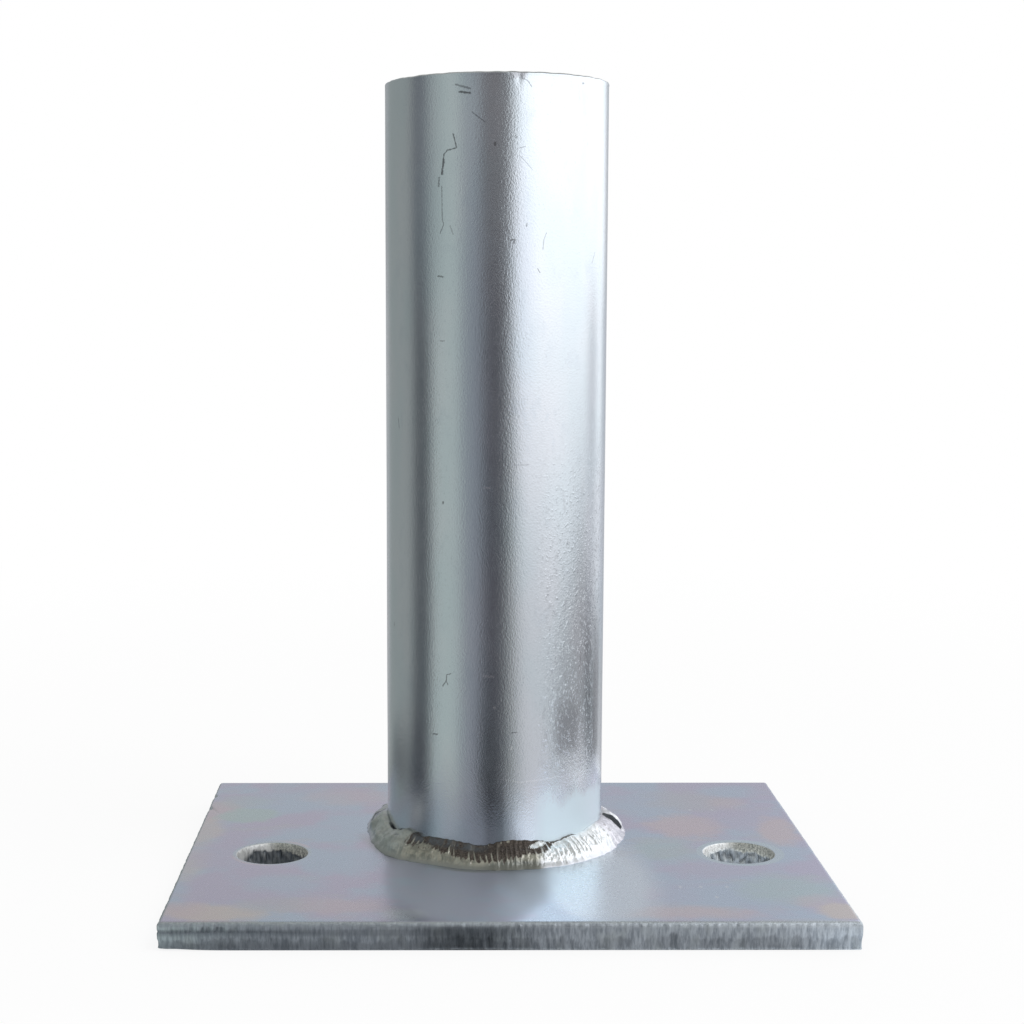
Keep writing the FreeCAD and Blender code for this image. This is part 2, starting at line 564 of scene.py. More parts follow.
@dataclass(frozen=True)
class PlateFinish(Finish):
    """Bright zinc on rolled plate: soft lilac, blue, rose and straw clouds, and darker torn edges.

    Attributes:
        holes: The fixing holes' centres.
        hole_radius: Their radius.
        tube_axis: Where the tube's axis stands.
        thickness: The plate's thickness.
        spots: Patches of tint on the top, some of them painted reflections of the tube.
        halos: Rings of tint round the holes and the weld, one of them a painted shadow under the weld's front
            toe.
        flecks: Places of small pale dots on the top.
        cloud: Size of the clouds.
        roughness: Of the flat top.
        cut_roughness: Of the sheared and punched faces.
        fleck: Colour of the pale dots.
        cut: Dark and light shades of the sheared faces.
        stain: Greenish stains on them.
        lip: Their bright upper band.
        pressed: Dark bands that the blade pressed in at the front left.
        wall: Shades of the holes' walls at their left, a painted highlight where they face the light.
        shaded_wall: Shades of the holes' walls at their right, olive grey, a painted shade away from the
            light.
        torn: Shades of torn metal.
    """

    holes: tuple[Place, ...]
    hole_radius: float
    tube_axis: Place
    thickness: float
    spots: tuple[Spot, ...]
    halos: tuple[Halo, ...]
    flecks: tuple[Place, ...]
    cloud: float = 16.0
    roughness: float = 0.28
    cut_roughness: float = 0.5
    fleck: Colour = (0.90, 0.92, 0.95)
    cut: Shades = ((0.37, 0.405, 0.445), (0.67, 0.715, 0.755))
    stain: Colour = (0.62, 0.66, 0.64)
    lip: Colour = (0.78, 0.81, 0.83)
    pressed: Colour = (0.27, 0.29, 0.32)
    wall: Shades = ((0.70, 0.70, 0.69), (1.0, 1.0, 0.99))
    shaded_wall: Shades = ((0.27, 0.28, 0.26), (0.60, 0.60, 0.55))
    torn: Shades = ((0.14, 0.155, 0.17), (0.27, 0.29, 0.315))

    def tinted(self, shader: Shader, place: Signal) -> tuple[Signal, Term]:
        """Colour the zinc's coat: clouds of lilac and blue, with the placed tints over them, among them
        painted reflections of the tube and a painted shadow under the weld.

        Args:
            shader: The tree to add to.
            place: The place on the plate.

        Returns:
            The colour, and what the dull spots add to the roughness.
        """
        dull: Term = 0.0
        clouds = shader.noise(place, self.cloud, 3.0, 0.55)
        colour = shader.mix(clouds.eased(0.42, 0.6), LILAC, ICE)
        veils = shader.noise(shader.stretched(place, (0.6, 1.3, 1.0)), self.cloud * 0.6, 3.0, 0.6)
        colour = shader.mix(veils.eased(0.54, 0.66) * 0.45, colour, FOG)
        ragged = shader.noise(place, 5.0, 3.0, 0.6) - 0.5
        x, y, _ = shader.parts(place)
        for spot in self.spots:
            away = shader.distance((x - spot.x) / spot.long, (y - spot.y) / spot.wide) + ragged * spot.ragged
            share = away.eased(1 + spot.edge, 1 - spot.edge)
            colour = shader.mix(share * spot.strength, colour, spot.tint)
            if spot.dull:
                dull = share * spot.dull + dull
        for halo in self.halos:
            ring_x, ring_y = (*self.holes, self.tube_axis)[halo.ring]
            across, along = x - (ring_x + halo.offset), y - ring_y
            away = shader.distance(across, along) + ragged * halo.blur * 2.0
            inner, outer, blur = halo.inner, halo.outer, halo.blur
            mask = away.between(inner - blur, inner + blur, outer - blur, outer + blur)
            turned = shader.turned(shader.bearing(across, along), halo.bearing)
            mask = mask * turned.eased(halo.spread + halo.turn_blur, halo.spread - halo.turn_blur)
            colour = shader.mix(mask * halo.strength, colour, halo.tint)
        for fleck_x, fleck_y in self.flecks:
            near = shader.distance(x - fleck_x, (y - fleck_y) * 0.5).eased(0.5, 0.1)
            colour = shader.mix(near * 0.55, colour, self.fleck)
        return colour, dull

    def wire(self, shader: Shader) -> None:
        """Zinc clouds on the flats, scored grey cut faces, hole walls painted light at the left and shaded at
        the right, which turn dark where torn.
        """
        place = shader.place()
        x, y, z = shader.parts(place)
        torn = shader.attribute("torn")
        inside = self.thickness - z
        cut = inside.eased(0.02, 0.14)
        score = shader.noise(place, 0.5, 3.0, 0.65, squeeze=0.2)
        stain = shader.noise(place, 2.6, 3.0, 0.6, squeeze=0.5)
        grit = shader.noise(place, 0.32, 3.0, 0.65)
        grey = shader.mix(score.eased(0.3, 0.7), *self.cut)
        grey = shader.mix(stain.eased(0.48, 0.7) * 0.35, grey, self.stain)
        grey = shader.mix(inside.eased(1.3, 0.7) * 0.4, grey, self.lip)
        pressed = inside.between(1.1, 1.5, 2.1, 2.7) + inside.eased(3.0, 4.2)
        grey = shader.mix(x.eased(15.0, -20.0) * pressed * 0.4, grey, self.pressed)
        bright = shader.mix(score.eased(0.35, 0.55), *self.wall)
        olive = shader.mix(grit.eased(0.38, 0.62), *self.shaded_wall)
        walls: Term = 0.0
        for hole_x, hole_y in self.holes:
            away = shader.distance(x - hole_x, y - hole_y)
            wall = away.eased(self.hole_radius + 1.2, self.hole_radius + 0.7)
            # Painted light: each wall pale to white at its left, where it faces the light, and olive grey at
            # its right, away from it.
            grey = shader.mix(wall, grey, shader.mix((x - hole_x).eased(-2.5, 1.0), bright, olive))
            walls = wall + walls
        grey = shader.mix(torn, grey, shader.mix(score.eased(0.35, 0.65), *self.torn))
        coat, dull = self.tinted(shader, place)
        colour = shader.mix(cut, coat, grey)
        skin = shader.noise(place, 0.8, 3.0, 0.6)
        roughness = (skin - 0.5) * 0.1 + dull + self.roughness
        roughness = roughness * (1 - cut) + cut * self.cut_roughness
        height = skin * (1 - cut) * 0.015 + score * cut
        shader.metal({
            "Base Color": colour, "Metallic": 1.0 - walls * cut * (1 - torn) * 0.45, "Roughness": roughness,
            "Normal": shader.bump(height, 0.05),
        })


@dataclass(frozen=True)
class Scratch:
    """A thin mark on the tube.

    Attributes:
        path: Its corners, each a bearing and a height above the plate's underside.
        width: Its width.
        tint: Its colour.
        strength: How much of that colour it takes on.
    """

    path: tuple[Place, ...]
    width: float
    tint: Colour
    strength: float


@dataclass(frozen=True)
class TubeFinish(Finish):
    """Bright zinc on drawn tube: fine upright grit, a few old scratches and pits.

    Attributes:
        axis: Where the tube's axis stands on the plate.
        radius: The tube's outer radius.
        scratches: Marks in the steel under the zinc.
        roughness: Of the smooth zinc.
        grain_depth: Full height of its grain.
        zinc: Its shades.
        mottled: Its colour where it is mottled.
        grained: Colour of the grain's pits.
        gritty: Colour of the grit low at the right.
        foot: Colour of the painted reflection low on the tube over the weld at the right, a pale blue sheen;
            the zinc there is also duller.
        painted_shade_patch: Grey of the painted shade on a patch and an upright streak above it.
        shade: Grey of the painted shade over the weld at the front, where the tube mirrors the dark weld.
    """

    axis: Place
    radius: float
    scratches: tuple[Scratch, ...]
    roughness: float = 0.21
    grain_depth: float = 0.045
    zinc: Shades = ((0.70, 0.745, 0.775), (0.745, 0.76, 0.79))
    mottled: Colour = (0.65, 0.69, 0.735)
    grained: Colour = (0.55, 0.57, 0.62)
    gritty: Colour = (0.50, 0.51, 0.53)
    foot: Colour = (0.84, 0.95, 1.0)
    painted_shade_patch: Colour = (0.40, 0.41, 0.43)
    shade: Colour = (0.33, 0.34, 0.36)

    def scratched(self, shader: Shader, colour: Signal, along: Signal, z: Signal, wobble: Signal) -> Signal:
        """Lay the scratches on a colour, each as the distance to its lines, with unsteady edges.

        Args:
            shader: The tree to add to.
            colour: The colour so far.
            along: Distance round the tube from its front.
            z: Height above the plate's underside.
            wobble: Noise about 0 that moves the edges.

        Returns:
            The colour with the scratches.
        """
        degree = math.radians(self.radius)
        for scratch in self.scratches:
            nearest: Signal | None = None
            for (turn_a, z_a), (turn_b, z_b) in zip(scratch.path, scratch.path[1:]):
                x_a, x_b = turn_a * degree, turn_b * degree
                length = math.hypot(x_b - x_a, z_b - z_a)
                way_x, way_z = (x_b - x_a) / length, (z_b - z_a) / length
                travel = (along - x_a) * way_x + (z - z_a) * way_z
                travel = shader.math("MAXIMUM", shader.math("MINIMUM", travel, length), 0.0)
                off_x, off_z = along - (travel * way_x + x_a), z - (travel * way_z + z_a)
                away = shader.distance(off_x, off_z)
                nearest = away if nearest is None else shader.math("MINIMUM", nearest, away)
            edge = nearest + wobble * scratch.width * 1.6
            mask = edge.eased(scratch.width * 0.75, scratch.width * 0.2) * scratch.strength
            colour = shader.mix(mask, colour, scratch.tint)
        return colour

    def wire(self, shader: Shader) -> None:
        """Blue-white zinc with upright grain, low grit, a painted pale reflection at the foot and patches of
        painted shade, and the scratches.
        """
        place = shader.place()
        x, y, z = shader.parts(place)
        bearing = shader.bearing(x - self.axis[0], y - self.axis[1])
        along = bearing * math.radians(self.radius)
        grain = shader.noise(place, 0.3, 2.0, 0.6, squeeze=0.75)
        mottle = shader.noise(place, 3.2, 3.0, 0.6, squeeze=0.6)
        clouds = shader.noise(place, 9.0, 2.0, 0.5, squeeze=0.35)
        colour = shader.mix(clouds.eased(0.35, 0.65), *self.zinc)
        colour = shader.mix(mottle.eased(0.56, 0.72) * 0.35, colour, self.mottled)
        colour = shader.mix(grain.eased(0.6, 0.75) * 0.4, colour, self.grained)
        ragged = z + (mottle - 0.5) * 6.0 + (grain - 0.5) * 4.0
        # Painted reflection: a pale blue sheen low at the right, where the tube mirrors the bright plate;
        # there the zinc is also rougher and less metallic.
        foot = ragged.eased(19.0, 14.5) * bearing.between(15.0, 27.0, 70.0, 82.0)
        colour = shader.mix(foot, colour, self.foot)
        colour = self.scratched(shader, colour, along, z, grain - 0.5)
        # Painted shade: grey on a patch and an upright streak low at the right.
        painted_shade_patch = z.between(23.0, 27.0, 31.0, 37.0) * bearing.between(28.0, 35.0, 43.0, 50.0)
        streak = z.between(21.0, 25.0, 36.0, 60.0) * bearing.between(59.0, 63.0, 67.0, 71.0)
        colour = shader.mix(painted_shade_patch * 0.7 + streak * 0.9, colour, self.painted_shade_patch)
        # Painted shade: grey low on the front, where the tube mirrors the dark weld.
        shade = z.eased(24.0, 16.0) * bearing.between(-9.0, -4.0, 1.5, 4.5)
        colour = shader.mix(shade * 0.6, colour, self.shade)
        grit = z.between(17.0, 24.0, 60.0, 96.0) * bearing.between(14.0, 30.0, 66.0, 78.0)
        specks = shader.noise(place, 0.5, 2.0, 0.55, squeeze=0.7).eased(0.56, 0.72)
        lumps = shader.noise(place, 1.1, 4.0, 0.7, squeeze=0.55)
        colour = shader.mix(grit * lumps.eased(0.52, 0.66) * 0.4, colour, self.gritty)
        roughness = self.roughness + (mottle - 0.5) * 0.1 + foot * 0.25
        height = grain * 0.7 + specks * grit * 0.9 + lumps * grit * 1.0
        shader.metal({
            "Base Color": colour, "Metallic": 1.0 - foot * 0.45, "Roughness": roughness,
            "Normal": shader.bump(height, self.grain_depth),
        })


@dataclass(frozen=True)
class WeldFinish(Finish):
    """Zinc over weld ripples, brown where the hollows kept their scale.

    Attributes:
        axis: Where the axis of the ring of weld stands.
        tube_radius: Radius of the tube inside it.
        roughness: Of the plated metal.
        olive: Shades of the plated metal.
        ashen: Its shades at the left.
        bright: Its painted highlight colour: near white at the right, which faces the light, and on the white
            patch.
        rim: Colour of the lower toe at the front left.
        rim_turns: Bearings between which the toe takes another colour, and that colour; the near white one at
            the right is a painted highlight.
        brown: Shades of the scale.
        leaden: Its colour low at the left of the front.
        black: Its colour at the sides.
    """

    axis: Place
    tube_radius: float
    roughness: float = 0.36
    olive: Shades = ((0.60, 0.575, 0.49), (0.40, 0.385, 0.33))
    ashen: Shades = ((0.46, 0.48, 0.455), (0.60, 0.625, 0.595))
    bright: Colour = (0.97, 0.975, 0.98)
    rim: Colour = (0.40, 0.41, 0.39)
    rim_turns: tuple[tuple[float, float, Colour], ...] = (
        (-12.0, 0.0, (0.29, 0.29, 0.26)),
        # Painted highlight: the toe near white at the right, where it faces the light.
        (16.5, 20.5, (0.90, 0.90, 0.94)),
        (56.0, 66.0, (0.80, 0.77, 0.81)),
        (-62.0, -86.0, (0.66, 0.665, 0.74)),
    )
    brown: Shades = ((0.055, 0.045, 0.04), (0.15, 0.125, 0.105))
    leaden: Colour = (0.13, 0.14, 0.15)
    black: Colour = (0.07, 0.075, 0.08)

    def wire(self, shader: Shader) -> None:
        """Olive metal, greyer at the left and painted white at the right as a highlight, with brown and grey
        scale.
        """
        place = shader.place()
        x, y, _ = shader.parts(place)
        across, along = x - self.axis[0], y - self.axis[1]
        bearing = shader.bearing(across, along)
        out = shader.distance(across, along) - self.tube_radius
        hollow, toe, bright = (shader.attribute(mark) for mark in ("hollow", "toe", "bright"))
        grain = shader.noise(place, 0.3, 3.0, 0.65)
        stain = shader.noise(place, 1.7, 3.0, 0.6)
        metal = shader.mix(stain.eased(0.42, 0.62), *self.olive)
        metal = shader.mix(bearing.eased(-40.0, -52.0), metal, shader.mix(stain.eased(0.4, 0.6), *self.ashen))
        # Painted highlight: near white where the bright mark is, at the right and on the white patch.
        metal = shader.mix(bright, metal, self.bright)
        rim: Signal | Colour = self.rim
        for start, full, tint in self.rim_turns:
            rim = shader.mix(bearing.eased(start, full), rim, tint)
        metal = shader.mix(toe, metal, rim)
        scale = shader.mix(grain.eased(0.35, 0.65), *self.brown)
        leaden = bearing.eased(0.0, -16.0) * out.eased(2.4, 1.0)
        scale = shader.mix(leaden * stain.eased(0.6, 0.4), scale, self.leaden)
        scale = shader.mix(abs(bearing).eased(52.0, 70.0), scale, self.black)
        share = (hollow + (grain - 0.5) * 0.45).eased(0.25, 0.75)
        colour = shader.mix(share, metal, scale)
        shader.metal({
            "Base Color": colour, "Metallic": 1.0 - share * 0.3,
            "Roughness": self.roughness + share * 0.12 + (stain - 0.5) * 0.12,
            "Normal": shader.bump(grain, 0.06),
        })


@dataclass(frozen=True)
class Nick:
    """A small dent in the plate's rolled edge.

    Attributes:
        x: Its place from the plate's centre.
        y: As x, towards the back.
        size: Its half width.
        depth: How deep it is.
    """

    x: float
    y: float
    size: float
    depth: float


@dataclass
class SteelPlate:
    """The sheared plate with its two punched holes.

    Attributes:
        spots: Patches of tint on the top, some of them painted reflections of the tube.
        halos: Rings of tint round the holes and the tube, one of them a painted shadow under the weld's front
            toe.
        flecks: Places of small pale dots.
        nicks: Dents in the rolled edge.
        roll: Radius that the shear drew the top edge over.
        lean: How far the cut faces lean in over the thickness.
        corner: Radius of the corners.
        corner_steps: Points round a corner.
        foot_round: Radius of the underside's edge.
        lift: How far the front left corner of the underside is knocked up.
        lift_reach: How far from the corner that dies away.
        tear_height: Mean height under which the cut faces are torn.
        tear_depth: How deep the torn metal lies.
        hole_tear_height: As tear_height for the holes' walls.
        lip: How far the punch drew the holes' top edge in.
        lip_height: How far down the wall the lip reaches.
        breakout: Blunt edge of the holes at the underside.
        step: Distance between points along the outline.
        rim: Width of the band along the outline that belongs to the cut faces.
    """

    spots: tuple[Spot, ...]
    halos: tuple[Halo, ...]
    flecks: tuple[Place, ...]
    nicks: tuple[Nick, ...]
    roll: float = 0.9
    lean: float = 0.2
    corner: float = 0.3
    corner_steps: int = 3
    foot_round: float = 0.25
    lift: float = 0.35
    lift_reach: float = 6.0
    tear_height: float = 2.3
    tear_depth: float = 0.07
    hole_tear_height: float = 3.5
    lip: float = 0.5
    lip_height: float = 1.5
    breakout: float = 0.2
    step: float = 0.36
    rim: float = 1.1

    def __post_init__(self) -> None:
        """Take the plate's size and its holes from the frame, and share out the points of its outline."""
        low, high = box_mm(Node.PLATE)
        self.half_x, self.half_y, self.thickness = high[0], high[1], high[2] - low[2]
        (self.middle_x, hole_y), bolts = mount("fixing_holes")
        self.hole_radius = bolts["hole_r_mm"]
        offset = bolts["spacing_x_mm"] / 2
        self.holes = ((self.middle_x - offset, hole_y), (self.middle_x + offset, hole_y))
        self.right_steps = round((self.half_x - self.middle_x) / self.step)
        self.left_steps = round((self.half_x + self.middle_x) / self.step)
        self.side_steps = round(2 * self.half_y / self.step)
        self.back_seam = 2 * self.right_steps + self.side_steps + 2 * self.corner_steps

    def ring(self, inset: float) -> Array:
        """Walk round the plate, that far in from its edges: front seam, right, back, left and front again.

        Straight stretches are even steps, and each corner is an arc of the corner's radius.

        Args:
            inset: Distance from the plate's edges.

        Returns:
            The points; a point has the same number at every inset.
        """
        x, y, bend = self.half_x - inset, self.half_y - inset, self.corner
        flat_x, flat_y, seam, turns = x - bend, y - bend, self.middle_x, self.corner_steps
        return np.concatenate([
            straight((seam, -y), (flat_x, -y), self.right_steps),
            arc((flat_x, -flat_y), bend, -90, 0, turns),
            straight((x, -flat_y), (x, flat_y), self.side_steps),
            arc((flat_x, flat_y), bend, 0, 90, turns),
            straight((flat_x, y), (seam, y), self.right_steps),
            straight((seam, y), (-flat_x, y), self.left_steps),
            arc((-flat_x, flat_y), bend, 90, 180, turns),
            straight((-x, flat_y), (-x, -flat_y), self.side_steps),
            arc((-flat_x, -flat_y), bend, 180, 270, turns),
            straight((-flat_x, -y), (seam, -y), self.left_steps),
        ])

    def outward(self) -> Array:
        """Which way the edge faces at each point of a ring: one way along a side, turning at the corners."""
        bend = 90 * np.arange(self.corner_steps) / self.corner_steps
        turn = np.radians(np.concatenate([
            np.full(self.right_steps, -90.0), bend - 90, np.zeros(self.side_steps), bend,
            np.full(self.right_steps + self.left_steps, 90.0), bend + 90,
            np.full(self.side_steps, 180.0), bend + 180, np.full(self.left_steps, 270.0),
        ]))
        return np.stack([np.cos(turn), np.sin(turn)], -1)

    def edge_profile(self) -> tuple[Array, Array]:
        """The section across the cut face, from the top to the underside.

        Returns:
            Inset and height of each point, and the outward and upward parts of its normal.
        """
        slope = self.lean / self.thickness
        lean = math.degrees(math.atan(slope))
        roll = arc((0, 0), 1.0, 90, -lean, 10)
        crest = self.thickness - self.roll
        rolled = np.array([self.roll, crest]) + self.roll * roll * [-1, 1]
        face_top = crest - self.roll * math.sin(math.radians(lean))
        start = self.roll * (1 - math.cos(math.radians(lean)))
        height = np.linspace(face_top, self.foot_round, 24)
        face = np.stack([start + (face_top - height) * slope, height], -1)
        foot = arc((0, 0), 1.0, -lean, -90, 5)
        blunt = np.array([face[-1, 0] + self.foot_round, self.foot_round]) + self.foot_round * foot * [-1, 1]
        section = [[(self.rim, self.thickness)], rolled, face[:-1], blunt, [(self.rim, 0.0)]]
        normals = [[(0.0, 1.0)], roll, np.tile(foot[0], (len(face) - 1, 1)), foot, [(0.0, -1.0)]]
        return np.concatenate(section), np.concatenate(normals)

    def worn(self, points: Array) -> tuple[Array, Array]:
        """How deep the shear's marks lie at each point of the cut faces, and how torn the metal is.

        Upright scores run the whole height. Below a wandering line the metal is torn and lies deeper.
        Near the front left corner a lens of metal stands out, between a dark groove and a torn foot.

        Args:
            points: Places on the smooth cut face.

        Returns:
            Depths, never negative, and shares of torn metal.
        """
        x, y, z = points[..., 0], points[..., 1], points[..., 2]
        scores = Waves(0.8, 11, (1, 1, 5)).at(points)
        coarse = Waves(1.9, 12, (1, 1, 4)).at(points)
        tear_line = self.tear_height + 0.35 * Waves(9.0, 13, EVEN).at(points) + 0.25 * coarse
        torn = smooth_step(z, tear_line, tear_line - 0.7)
        front = smooth_step(y, -40.0, -45.0)
        groove_height = 3.35 - 0.25 * smooth_step(x, -52.0, -30.0)
        groove = smooth_step(x, -20.0, -52.0) * front * hump(z, groove_height, 0.22)
        lens_height = 2.3 + 0.55 * smooth_step(x, -58.0, -47.0)
        lens = smooth_step(x, -34.0, -50.0) * front * hump(z, lens_height, 0.6)
        pits = hump(x, -50.5, 4.5) * front * hump(z, 3.9, 0.4)
        band = window(z, 0.0, 0.5, self.thickness - 0.6, self.thickness)
        depth = 0.035 * (1.3 + scores) + 0.03 * (1 + coarse) + torn * self.tear_depth + 0.13 * groove
        depth = depth + pits * (0.10 + 0.09 * scores).clip(0) - 0.14 * lens
        dark = torn * (0.3 + 0.12 * coarse) * (1 - lens) + 0.55 * groove
        dark = dark + pits * (0.25 + 0.35 * scores).clip(0)
        return np.clip(band * depth, 0, None), np.clip(band * dark, 0, 0.8)

    def skin(self) -> Patch:
        """Stack rings down the edge's section, then sink the wear and the nicks along the normal."""
        section, facing = self.edge_profile()
        flat = np.stack([self.ring(inset) for inset in section[:, 0]])
        points = np.concatenate([flat, np.broadcast_to(section[:, None, 1:], flat.shape[:2] + (1,))], -1)
        level = np.broadcast_to(facing[:, None, 1:], flat.shape[:2] + (1,))
        normal = np.concatenate([facing[:, None, :1] * self.outward()[None], level], -1)
        depth, torn = self.worn(points)
        for nick in self.nicks:
            away = np.hypot(points[..., 0] - nick.x, points[..., 1] - nick.y)
            depth = depth + nick.depth * hump(away, 0.0, nick.size)
        depth[[0, -1]] = 0
        points = points - depth[..., None] * normal
        away = np.hypot(points[..., 0] + self.half_x, points[..., 1] + self.half_y)
        lift = self.lift * hump(away, 0.0, self.lift_reach) * smooth_step(points[..., 2], 2.2, 0.0)
        points[1:-1, :, 2] += lift[1:-1]
        return Patch(points, marks={"torn": torn})

    def hole_wall(self, centre: Array, ray: Array) -> tuple[Array, Array]:
        """Stack circles up a punched hole's wall and its rounded lip, scored, and torn low at the left.

        Args:
            centre: The hole's centre.
            ray: The way out from the centre at each column.

        Returns:
            The wall's points and its shares of torn metal, from the foot to the lip.
        """
        crest = self.thickness - self.lip_height
        height = np.concatenate([
            np.linspace(self.breakout, crest, 18),
            self.thickness - self.lip_height * np.array([0.8, 0.6, 0.42, 0.27, 0.15, 0.07, 0.02]),
        ])
        inset = (height - crest).clip(0) / self.lip_height
        radius = (self.hole_radius + self.lip * (1 - np.sqrt(1 - inset**2)))[:, None]

        def circles(out: float | Array) -> Array:
            """The wall's circles, moved outwards by that much."""
            flat = centre + (np.zeros(len(ray)) + radius + out)[..., None] * ray[None]
            return np.concatenate([flat, np.broadcast_to(height[:, None, None], flat.shape[:2] + (1,))], -1)

        smooth = circles(0.0)
        scores = Waves(0.6, 21, (1, 1, 6)).at(smooth)
        lumps = Waves(1.2, 22, (1, 1, 1.5)).at(smooth)
        tear_line = self.hole_tear_height - 0.35 * ray[:, 0] + 0.15 * Waves(3.4, 23, EVEN).at(smooth)
        tear_line = tear_line + 0.12 * Waves(0.9, 24, EVEN).at(smooth)
        torn = smooth_step(smooth[..., 2], tear_line + 0.1, tear_line - 0.2)
        torn = torn * smooth_step(ray[:, 0] + 0.12 * (tear_line - smooth[..., 2]), -0.8, -0.55)
        bite = 0.035 * (1 + scores).clip(0) + torn * (0.14 + 0.07 * lumps).clip(0.02)
        ends = window(height, self.breakout, self.breakout + 0.5, self.thickness - 0.8, self.thickness - 0.05)
        dark = torn * (0.9 + 0.1 * lumps) * smooth_step(height, 0.0, 0.4)[:, None]
        return circles(bite * ends[:, None]), dark.clip(0, 1)

    def half(self, right: bool) -> Patch:
        """One half of the plate as a ring of rays from its hole's wall to its boundary.

        Each column is a ray from the hole's centre. Its rows run from the boundary on the underside in
        to the hole, up the wall and the lip, and out over the top: hole point + share x (boundary - hole).

        Args:
            right: The half with the right-hand hole.

        Returns:
            The surface.
        """
        rim, back_seam = self.ring(self.rim), self.back_seam
        centre = np.array(self.holes[1 if right else 0])
        seam_steps = round((rim[back_seam, 1] - rim[0, 1]) / (2.5 * self.step))
        seam = straight(tuple(rim[back_seam]), tuple(rim[0]), seam_steps)
        if right:
            boundary = np.concatenate([rim[:back_seam], seam])
        else:
            boundary = np.concatenate([rim[back_seam:], rim[:1], seam[:0:-1]])
        ray = boundary - centre
        reach = np.linalg.norm(ray, axis=1, keepdims=True)
        ray /= reach

        def spread(start: float, height: float, shares: Array) -> Array:
            """Points from a circle of that radius out to the boundary, by their share of the way."""
            away = start + (reach - start) * shares[None]
            flat = centre + away.T[..., None] * ray[None]
            return np.concatenate([flat, np.full(flat.shape[:2] + (1,), height)], -1)

        top_shares = np.array([0.0, 0.008, 0.02, 0.045, 0.1, 0.3, 0.65, 1.0])
        top = spread(self.hole_radius + self.lip, self.thickness, top_shares)
        away = np.linalg.norm(top[..., :2] - centre, axis=-1) - self.hole_radius - self.lip
        top[..., 2] -= 0.03 * hump(away, 0.0, 0.8)
        bottom_shares = np.array([1.0, 0.4, 0.1, 0.0])
        bottom = spread(self.hole_radius + self.breakout, 0.0, bottom_shares)

        wall, torn = self.hole_wall(centre, ray)
        marks = np.concatenate([np.zeros(bottom.shape[:2]), torn, np.zeros(top.shape[:2])])
        return Patch(np.concatenate([bottom, wall, top]), marks={"torn": marks})

    def build(self) -> bpy.types.Object:
        """Make the plate's piece."""
        tube_axis, _ = mount("tube_outside")
        finish = PlateFinish(
            "bright_zinc_on_plate", self.holes, self.hole_radius, tube_axis, self.thickness,
            self.spots, self.halos, self.flecks,
        )
        patches = [self.skin(), self.half(True), self.half(False)]
        return make_piece("sheared_plate", patches, Node.PLATE, finish)


@dataclass
class PostTube:
    """The upright tube.

    Attributes:
        scratches: Marks on its outside.
        rim_round: Radius of the filed rim's edges.
        columns: Points round the tube.
        waviness: Depth of the slow hollows that drawing left.
        rim_wear: Mean depth of the rim's nicks.
        top_band: Height under the rim in which the rows lie closer.
        chip_bearing: Where the rim is chipped.
        chip_depth: How deep the chip is.
        chip_reach: How far down the outside it runs.
        chip_width: Half its width below the rim, in degrees.
    """

    scratches: tuple[Scratch, ...]
    rim_round: float = 0.3
    columns: int = 432
    waviness: float = 0.035
    rim_wear: float = 0.03
    top_band: float = 8.0
    chip_bearing: float = 9.0
    chip_depth: float = 0.1
    chip_reach: float = 3.4
    chip_width: float = 1.1

    def __post_init__(self) -> None:
        """Take the tube's size from the frame."""
        low, high = box_mm(Node.TUBE)
        self.axis, outside = mount("tube_outside")
        self.radius = outside["r_mm"]
        _, inside = mount("tube_bore")
        self.bore = inside["r_mm"]
        self.foot, self.top = low[2], high[2]

    def section(self) -> Array:
        """Radius and height round the tube's wall: up the outside, over the rim, down the inside."""
        edge = self.rim_round
        shoulder = self.top - edge
        band_foot = (self.radius, self.top - self.top_band)
        return np.concatenate([
            straight((self.radius, self.foot), band_foot, 84),
            straight(band_foot, (self.radius, shoulder), 28),
            arc((self.radius - edge, shoulder), edge, 0, 90, 5),
            straight((self.radius - edge, self.top), (self.bore + edge, self.top), 6),
            arc((self.bore + edge, shoulder), edge, 90, 180, 5),
            straight((self.bore, shoulder), (self.bore, self.foot), 60),
            straight((self.bore, self.foot), (self.radius, self.foot), 2),
        ])

    def build(self) -> bpy.types.Object:
        """Turn the section round the axis, then add the waviness, the rim's nicks and its chip."""
        section = self.section()
        turn, bearing = ring_steps(self.columns)
        radius = np.broadcast_to(section[:, None, 0], (len(section), self.columns)).copy()
        height = np.broadcast_to(section[:, None, 1], radius.shape).copy()
        smooth = around(self.axis, turn, radius, height)
        outside = smooth_step(radius, self.bore, self.radius)
        slow = Waves(24.0, 31, (1, 1, 2.5)).at(smooth)
        radius -= self.waviness * (1 + 0.5 * slow).clip(0) * outside * (height < self.top - self.rim_round)
        near_rim = smooth_step(height, self.top - 0.9, self.top)
        nicks = Waves(2.4, 32).at(smooth)
        height -= near_rim * self.rim_wear * (1 + nicks).clip(0)
        from_chip = (bearing - self.chip_bearing)[None] / (1.0 + 3.2 * near_rim)
        drop = smooth_step(height, self.top - self.chip_reach, self.top - 0.2)
        radius -= self.chip_depth * drop * hump(from_chip, 0.0, self.chip_width) * outside
        finish = TubeFinish("bright_zinc_on_tube", self.axis, self.radius, self.scratches)
        patch = Patch(around(self.axis, turn, radius, height), closed_rows=True)
        return make_piece("drawn_tube", [patch], Node.TUBE, finish)


@dataclass(frozen=True)
class Swing:
    """A local rise or fall of some size of the weld, a bell round a bearing.

    Attributes:
        bearing: Its middle.
        width: Its half width, in degrees.
        amount: What it adds there, in millimetres.
    """

    bearing: float
    width: float
    amount: float

    def at(self, bearing: Array) -> Array:
        """What it adds at each bearing: amount times a bell of the angle away."""
        away = (bearing - self.bearing + 180) % 360 - 180
        return self.amount * hump(away, 0.0, self.width)


